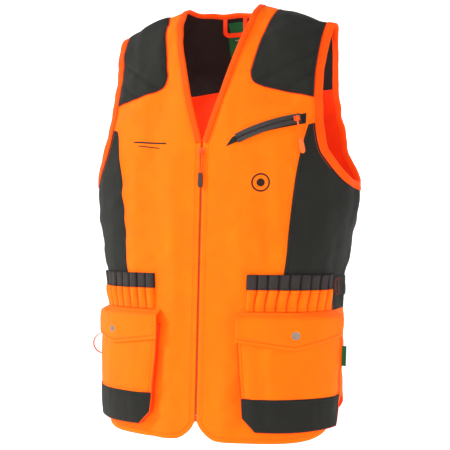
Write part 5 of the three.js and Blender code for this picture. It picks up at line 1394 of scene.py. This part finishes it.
def make_loops_and_labels():
    """The hanger and lead loops, and the woven labels."""
    low, high = corners("hanger_loop")
    middle_y = (low[1] + high[1]) / 2 / MM
    half = (high[0] - low[0]) / 2 / MM - WEBBING / 2
    top, foot = high[2] / MM, low[2] / MM + WEBBING / 2
    bend = 8.0
    path = [(-half, top), (-half, foot + bend)]
    path += [(-half + bend * (1 - math.cos(a)), foot + bend * (1 - math.sin(a)))
             for a in np.linspace(0, math.pi / 2, 7)[1:]]
    path += [(x, foot) for x in np.linspace(-half + bend, half - bend, 8)[1:-1]]
    path += [(half - bend * (1 - math.sin(a)), foot + bend * (1 - math.cos(a)))
             for a in np.linspace(0, math.pi / 2, 7)]
    path += [(half, top)]
    path = np.array(path)
    ahead = unit(np.gradient(path, axis=0))
    side = np.stack([ahead[:, 1], -ahead[:, 0]], 1)
    grid = [[(p[0] + s[0] * w, middle_y + 0.25 * math.sin(n * 1.3) * (abs(w) < 3), p[1] + s[1] * w)
             for w in np.linspace(-WEBBING / 2, WEBBING / 2, 6)] for n, (p, s) in enumerate(zip(path, side))]
    dress(slab("webbing_hanger_loop", grid, RIBBON, [LOOKS["webbing"]]),
          "hanger_loop", "webbing_red", "hanger_loop")

    centre = -(POCKET_END + 2.9)
    turn, run = spot(centre, LEAD_LOOP_CENTRE)
    out = normals(turn, run)
    up = unit(slopes(turn, run)[1])
    right = unit(np.cross(up, out))
    up = np.cross(out, right)
    origin = surface(turn, run)
    grid = []
    for n in range(48):
        angle = 2 * math.pi * n / 48
        reach, rise = 19 + 14.4 * math.cos(angle), 17.4 * math.sin(angle) * (1 - 0.12 * math.cos(angle))
        grid.append([origin + out * reach + up * rise + right * w for w in np.linspace(-2.5, 2.5, 5)])
    dress(slab("ribbon_lead_loop", grid, RIBBON, [LOOKS["binding"]], closed=True),
          "lead_loop", "ribbon_orange", "lead_loop")

    levels = np.linspace(SIDE_LABEL_BOTTOM, SIDE_LABEL_BOTTOM + SIDE_LABEL_HEIGHT, 14)
    grid = []
    for level in levels:
        turn, run = spot(POCKET_END + 1.0, level)
        out = normals(turn, run)
        right = unit(np.cross(unit(slopes(turn, run)[1]), out))
        grid.append([surface(turn, run) + out * h + right * (0.5 * math.sin(level / 7.0) * (h - 5) / 15)
                     for h in np.linspace(5, POCKET_DEPTH + 8, 9)])
    dress(slab("woven_side_label", grid, RIBBON, [LOOKS["label"]]), "vest", "label_green", "side_label")
    neck = RIDGE + BACK_NECK_DROP

    def inner_label(name, node, half, near, far, look):
        outline = [(back_turn(x, run), run) for x, run in
                   ((-half, neck + near), (half, neck + near), (half, neck + far), (-half, neck + far))]
        made = cloth_piece(name, outline, UNDER - TRIM - LAYER, 0.6, [LOOKS[look]], spacing=3.0)
        return dress(made, "vest", "label_green", *([node] if node else []))

    inner_label("woven_neck_label", "neck_label", *label_size("neck_label"), "label")
    inner_label("woven_size_label", "size_label", *label_size("size_label"), "label")
    for n, (near, far, half) in enumerate(((50, 53, 13), (58, 60, 9))):
        outline = [(back_turn(x, run), run) for x, run in
                   ((-half, neck + near), (half, neck + near), (half, neck + far), (-half, neck + far))]
        dress(cloth_piece(f"label_bar_{n}", outline, UNDER - TRIM - LAYER - 0.65, 0.3, [LOOKS["label_mark"]],
                          spacing=3.0), "vest", "label_green")


def label_size(node):
    low, high = corners(node)
    half = (high[0] - low[0]) / 2 / MM
    runs = np.linspace(RIDGE + 30, RIDGE + 160, 261)
    heights = surface(np.zeros(261), runs)[:, 2]
    neck = RIDGE + BACK_NECK_DROP
    near = float(runs[np.argmin(np.abs(heights - high[2] / MM))]) - neck
    far = float(runs[np.argmin(np.abs(heights - low[2] / MM))]) - neck
    return half, near, far


def back_turn(x, run):
    turns = np.linspace(0, 80, 641)
    return float(np.sign(x) * np.interp(abs(x), surface(turns, np.full(641, float(run)))[:, 0], turns))


def make_marks():
    """Two plain embroidered marks: a small ring on the left chest and two bars on the right."""
    ring_centre = (99, -64)
    for n, (outer, inner) in enumerate(((15.0, 12.4), (6.5, 0.0))):
        angles = np.linspace(0, 2 * math.pi, 40, endpoint=False)
        if inner:
            middle = (outer + inner) / 2
            line = np.array([on_chest(ring_centre[0] + middle * math.sin(a),
                                      ring_centre[1] + middle * math.cos(a)) for a in angles])
            made = sweep(f"mark_ring_{n}", line, oval(outer - inner, 0.8, (0, 0.25)), [LOOKS["thread_mark"]],
                         closed=True, spacing=2.5)
        else:
            line = [on_chest(ring_centre[0] + outer * math.sin(a), ring_centre[1] + outer * math.cos(a))
                    for a in angles[::2]]
            made = cloth_piece(f"mark_dot_{n}", line, 0.5, 0.5, [LOOKS["thread_mark"]], spacing=2.0,
                               rings=(0.6, 1.6))
        dress(made, "vest", "shell_orange")
    for n, (low, length, thick) in enumerate(((8, 64, 2.6), (1, 40, 1.8))):
        line = np.array([on_chest(-130 + length * t + 10 * n, low - 5 * t) for t in np.linspace(0, 1, 16)])
        dress(sweep(f"mark_bar_{n}", line, oval(thick, 0.8, (0, 0.25)), [LOOKS["thread_mark"]], spacing=3.0),
              "vest", "shell_orange")


# ---------- stage ----------

def area_light(name, place, aim, size, energy, colour=(1, 1, 1)):
    light = bpy.data.lights.new(name, "AREA")
    light.size, light.energy, light.color = size, energy, colour
    made = bpy.data.objects.new(name, light)
    made.location = place
    made.rotation_euler = (Vector(aim) - Vector(place)).to_track_quat("-Z", "Y").to_euler()
    bpy.context.scene.collection.objects.link(made)


CAMERA = (0.5472, -1.5035, 0.344)
LENS, SENSOR = 73.73, 36
FLOOR = -0.25


def make_stage():
    scene = bpy.context.scene
    camera = bpy.data.cameras.new("studio_camera")
    camera.lens, camera.sensor_width = LENS, SENSOR
    camera.clip_end = 60
    seen = bpy.data.objects.new("studio_camera", camera)
    seen.location = CAMERA
    seen.rotation_euler = (Vector((0, 0, CAMERA[2])) - Vector(CAMERA)).to_track_quat("-Z", "Y").to_euler()
    scene.collection.objects.link(seen)
    scene.camera = seen
    flat_radius, bend = 4.2, 1.2
    vertices, faces = [], []
    rings = [(0.0, FLOOR)] + [(r, FLOOR) for r in np.linspace(0.6, flat_radius, 7)]
    rings += [(flat_radius + bend * math.sin(a), FLOOR + bend * (1 - math.cos(a)))
              for a in np.linspace(0, math.pi / 2, 9)[1:]]
    rings += [(flat_radius + bend, FLOOR + bend + h) for h in (1.0, 2.5)]
    around_count = 64
    for radius, height in rings[1:]:
        for k in range(around_count):
            a = 2 * math.pi * k / around_count
            vertices.append((radius * math.cos(a), radius * math.sin(a), height))
    centre = len(vertices)
    vertices.append((0, 0, FLOOR))
    for k in range(around_count):
        faces.append((centre, k, (k + 1) % around_count))
    for i in range(len(rings) - 2):
        for k in range(around_count):
            a, b = i * around_count + k, i * around_count + (k + 1) % around_count
            faces.append((a, a + around_count, b + around_count, b))
    floor = mesh_object("studio_floor", vertices, faces)
    material, shader, start = finish_of("pale_floor")
    place = start.node("ShaderNodeTexCoord", output=3)
    cloud = place.node("ShaderNodeTexNoise", Vector=place, Scale=1.5, Detail=2.0)
    join(material, cloud.mix((0.93, 0.93, 0.93, 1), (0.97, 0.97, 0.97, 1)), shader.inputs["Base Color"])
    shader.inputs["Roughness"].default_value = 0.9
    shader.inputs["Emission Color"].default_value = (1, 1, 1, 1)
    shader.inputs["Emission Strength"].default_value = 0.5
    floor.data.materials.append(material)
    world = bpy.data.worlds.new("studio")
    world.use_nodes = True
    world.node_tree.nodes["Background"].inputs[0].default_value = (1, 1, 1, 1)
    world.node_tree.nodes["Background"].inputs[1].default_value = 0.2
    scene.world = world
    area_light("key", (-2.1, -1.2, 1.7), (0, 0, 0.4), 0.5, 52)
    area_light("fill", (2.4, -1.2, 0.9), (0, 0, 0.35), 1.6, 5)
    area_light("rim", (0.4, 2.2, 1.7), (0, 0, 0.4), 1.6, 14)
    scene.view_settings.view_transform = "Standard"


# ---------- the add-on ----------

class VestSizes(bpy.types.PropertyGroup):
    """Sizes that a user may change before the pieces are made. The cut follows the CAD frame."""
    stitch: bpy.props.FloatProperty(
        name="Stitch", description="Length of one stitch", subtype="DISTANCE", unit="LENGTH",
        default=0.0026, min=0.0005, max=0.01)
    stitch_pitch: bpy.props.FloatProperty(
        name="Stitch pitch", description="Distance from one stitch to the next", subtype="DISTANCE",
        unit="LENGTH", default=0.0035, min=0.001, max=0.02)
    thread: bpy.props.FloatProperty(
        name="Thread", description="Thickness of the sewing thread", subtype="DISTANCE", unit="LENGTH",
        default=0.00055, min=0.0001, max=0.002)
    padding: bpy.props.FloatProperty(
        name="Padding", description="How far the shoulder patches crown", subtype="DISTANCE",
        unit="LENGTH", default=0.0026, min=0.0, max=0.006)


class VestColours(bpy.types.PropertyGroup):
    """Colours that a user may change before the pieces are made."""
    shell: bpy.props.FloatVectorProperty(
        name="Shell", description="Colour of the orange twill", subtype="COLOR", size=3, min=0, max=1,
        default=(0.9, 0.172, 0.0))
    panel: bpy.props.FloatVectorProperty(
        name="Panels", description="Colour of the dark panels and patches", subtype="COLOR", size=3,
        min=0, max=1, default=(0.0195, 0.0195, 0.0165))
    # Strength of the painted glow: the emission that keeps the orange bright and red in shade.
    glow: bpy.props.FloatProperty(
        name="Glow", description="How strongly the fluorescent cloth glows", default=0.34, min=0, max=1,
        subtype="FACTOR")


def made_by(make):
    """Runs one maker after the finishes are there. What goes wrong in it is raised, not hidden."""
    if not LOOKS:
        make_looks()
    make()
    return {"FINISHED"}


class VEST_OT_stage(bpy.types.Operator):
    """Camera, floor and studio light."""
    bl_idname = "vest.stage"
    bl_label = "Stage"

    def execute(self, context):
        return made_by(make_stage)


class VEST_OT_shell(bpy.types.Operator):
    """The fronts, sides, back and yoke."""
    bl_idname = "vest.shell"
    bl_label = "Shell"

    def execute(self, context):
        return made_by(make_shell)


class VEST_OT_bindings(bpy.types.Operator):
    """The neck and armhole bindings."""
    bl_idname = "vest.bindings"
    bl_label = "Bindings"

    def execute(self, context):
        return made_by(make_bindings)


class VEST_OT_shoulders(bpy.types.Operator):
    """The quilted shoulder patches."""
    bl_idname = "vest.shoulders"
    bl_label = "Shoulder patches"

    def execute(self, context):
        return made_by(make_shoulders)


class VEST_OT_lining(bpy.types.Operator):
    """The yoke lining and the front facings."""
    bl_idname = "vest.lining"
    bl_label = "Lining"

    def execute(self, context):
        return made_by(make_lining)


class VEST_OT_centre_zip(bpy.types.Operator):
    """Tapes, teeth, slider and pull."""
    bl_idname = "vest.centre_zip"
    bl_label = "Centre zip"

    def execute(self, context):
        return made_by(make_centre_zip)


class VEST_OT_chest_pocket(bpy.types.Operator):
    """Welt, zip, pull and bag."""
    bl_idname = "vest.chest_pocket"
    bl_label = "Chest pocket"

    def execute(self, context):
        return made_by(make_chest_pocket)


class VEST_OT_pockets(bpy.types.Operator):
    """Faces, gussets, patches, flaps and snaps."""
    bl_idname = "vest.pockets"
    bl_label = "Bellows pockets"

    def execute(self, context):
        return made_by(make_pockets)


class VEST_OT_loops(bpy.types.Operator):
    """Loop bands, pleats and waist elastic."""
    bl_idname = "vest.loops"
    bl_label = "Cartridge loops"

    def execute(self, context):
        return made_by(make_loops)


class VEST_OT_labels(bpy.types.Operator):
    """Hanger loop, lead loop and labels."""
    bl_idname = "vest.labels"
    bl_label = "Loops and labels"

    def execute(self, context):
        return made_by(make_loops_and_labels)


class VEST_OT_marks(bpy.types.Operator):
    """Two plain embroidered marks."""
    bl_idname = "vest.marks"
    bl_label = "Marks"

    def execute(self, context):
        return made_by(make_marks)


class VEST_OT_seams(bpy.types.Operator):
    """Topstitching along seams and hems."""
    bl_idname = "vest.seams"
    bl_label = "Seams"

    def execute(self, context):
        return made_by(make_seams)


OPERATORS = [VEST_OT_stage, VEST_OT_shell, VEST_OT_bindings, VEST_OT_shoulders, VEST_OT_lining,
             VEST_OT_centre_zip, VEST_OT_chest_pocket, VEST_OT_pockets, VEST_OT_loops, VEST_OT_labels,
             VEST_OT_marks, VEST_OT_seams]


class VEST_PT_panel(bpy.types.Panel):
    """Lists the operators that make the vest's pieces."""
    bl_label = "Shooting vest"
    bl_idname = "VEST_PT_panel"
    bl_space_type = "VIEW_3D"
    bl_region_type = "UI"
    bl_category = "Vest"

    def draw(self, context):
        for key in ("stitch", "stitch_pitch", "thread", "padding"):
            self.layout.prop(context.scene.vest_sizes, key)
        for key in ("shell", "panel", "glow"):
            self.layout.prop(context.scene.vest_colours, key)
        for made in OPERATORS:
            self.layout.operator(made.bl_idname)


CLASSES = [VestSizes, VestColours, *OPERATORS, VEST_PT_panel]


def register():
    for made in CLASSES:
        bpy.utils.register_class(made)
    bpy.types.Scene.vest_sizes = bpy.props.PointerProperty(type=VestSizes)
    bpy.types.Scene.vest_colours = bpy.props.PointerProperty(type=VestColours)


def unregister():
    del bpy.types.Scene.vest_colours
    del bpy.types.Scene.vest_sizes
    for made in reversed(CLASSES):
        bpy.utils.unregister_class(made)


def main():
    register()
    for made in OPERATORS:
        group, name = made.bl_idname.split(".")
        getattr(getattr(bpy.ops, group), name)()


if __name__ == "__main__":
    main()
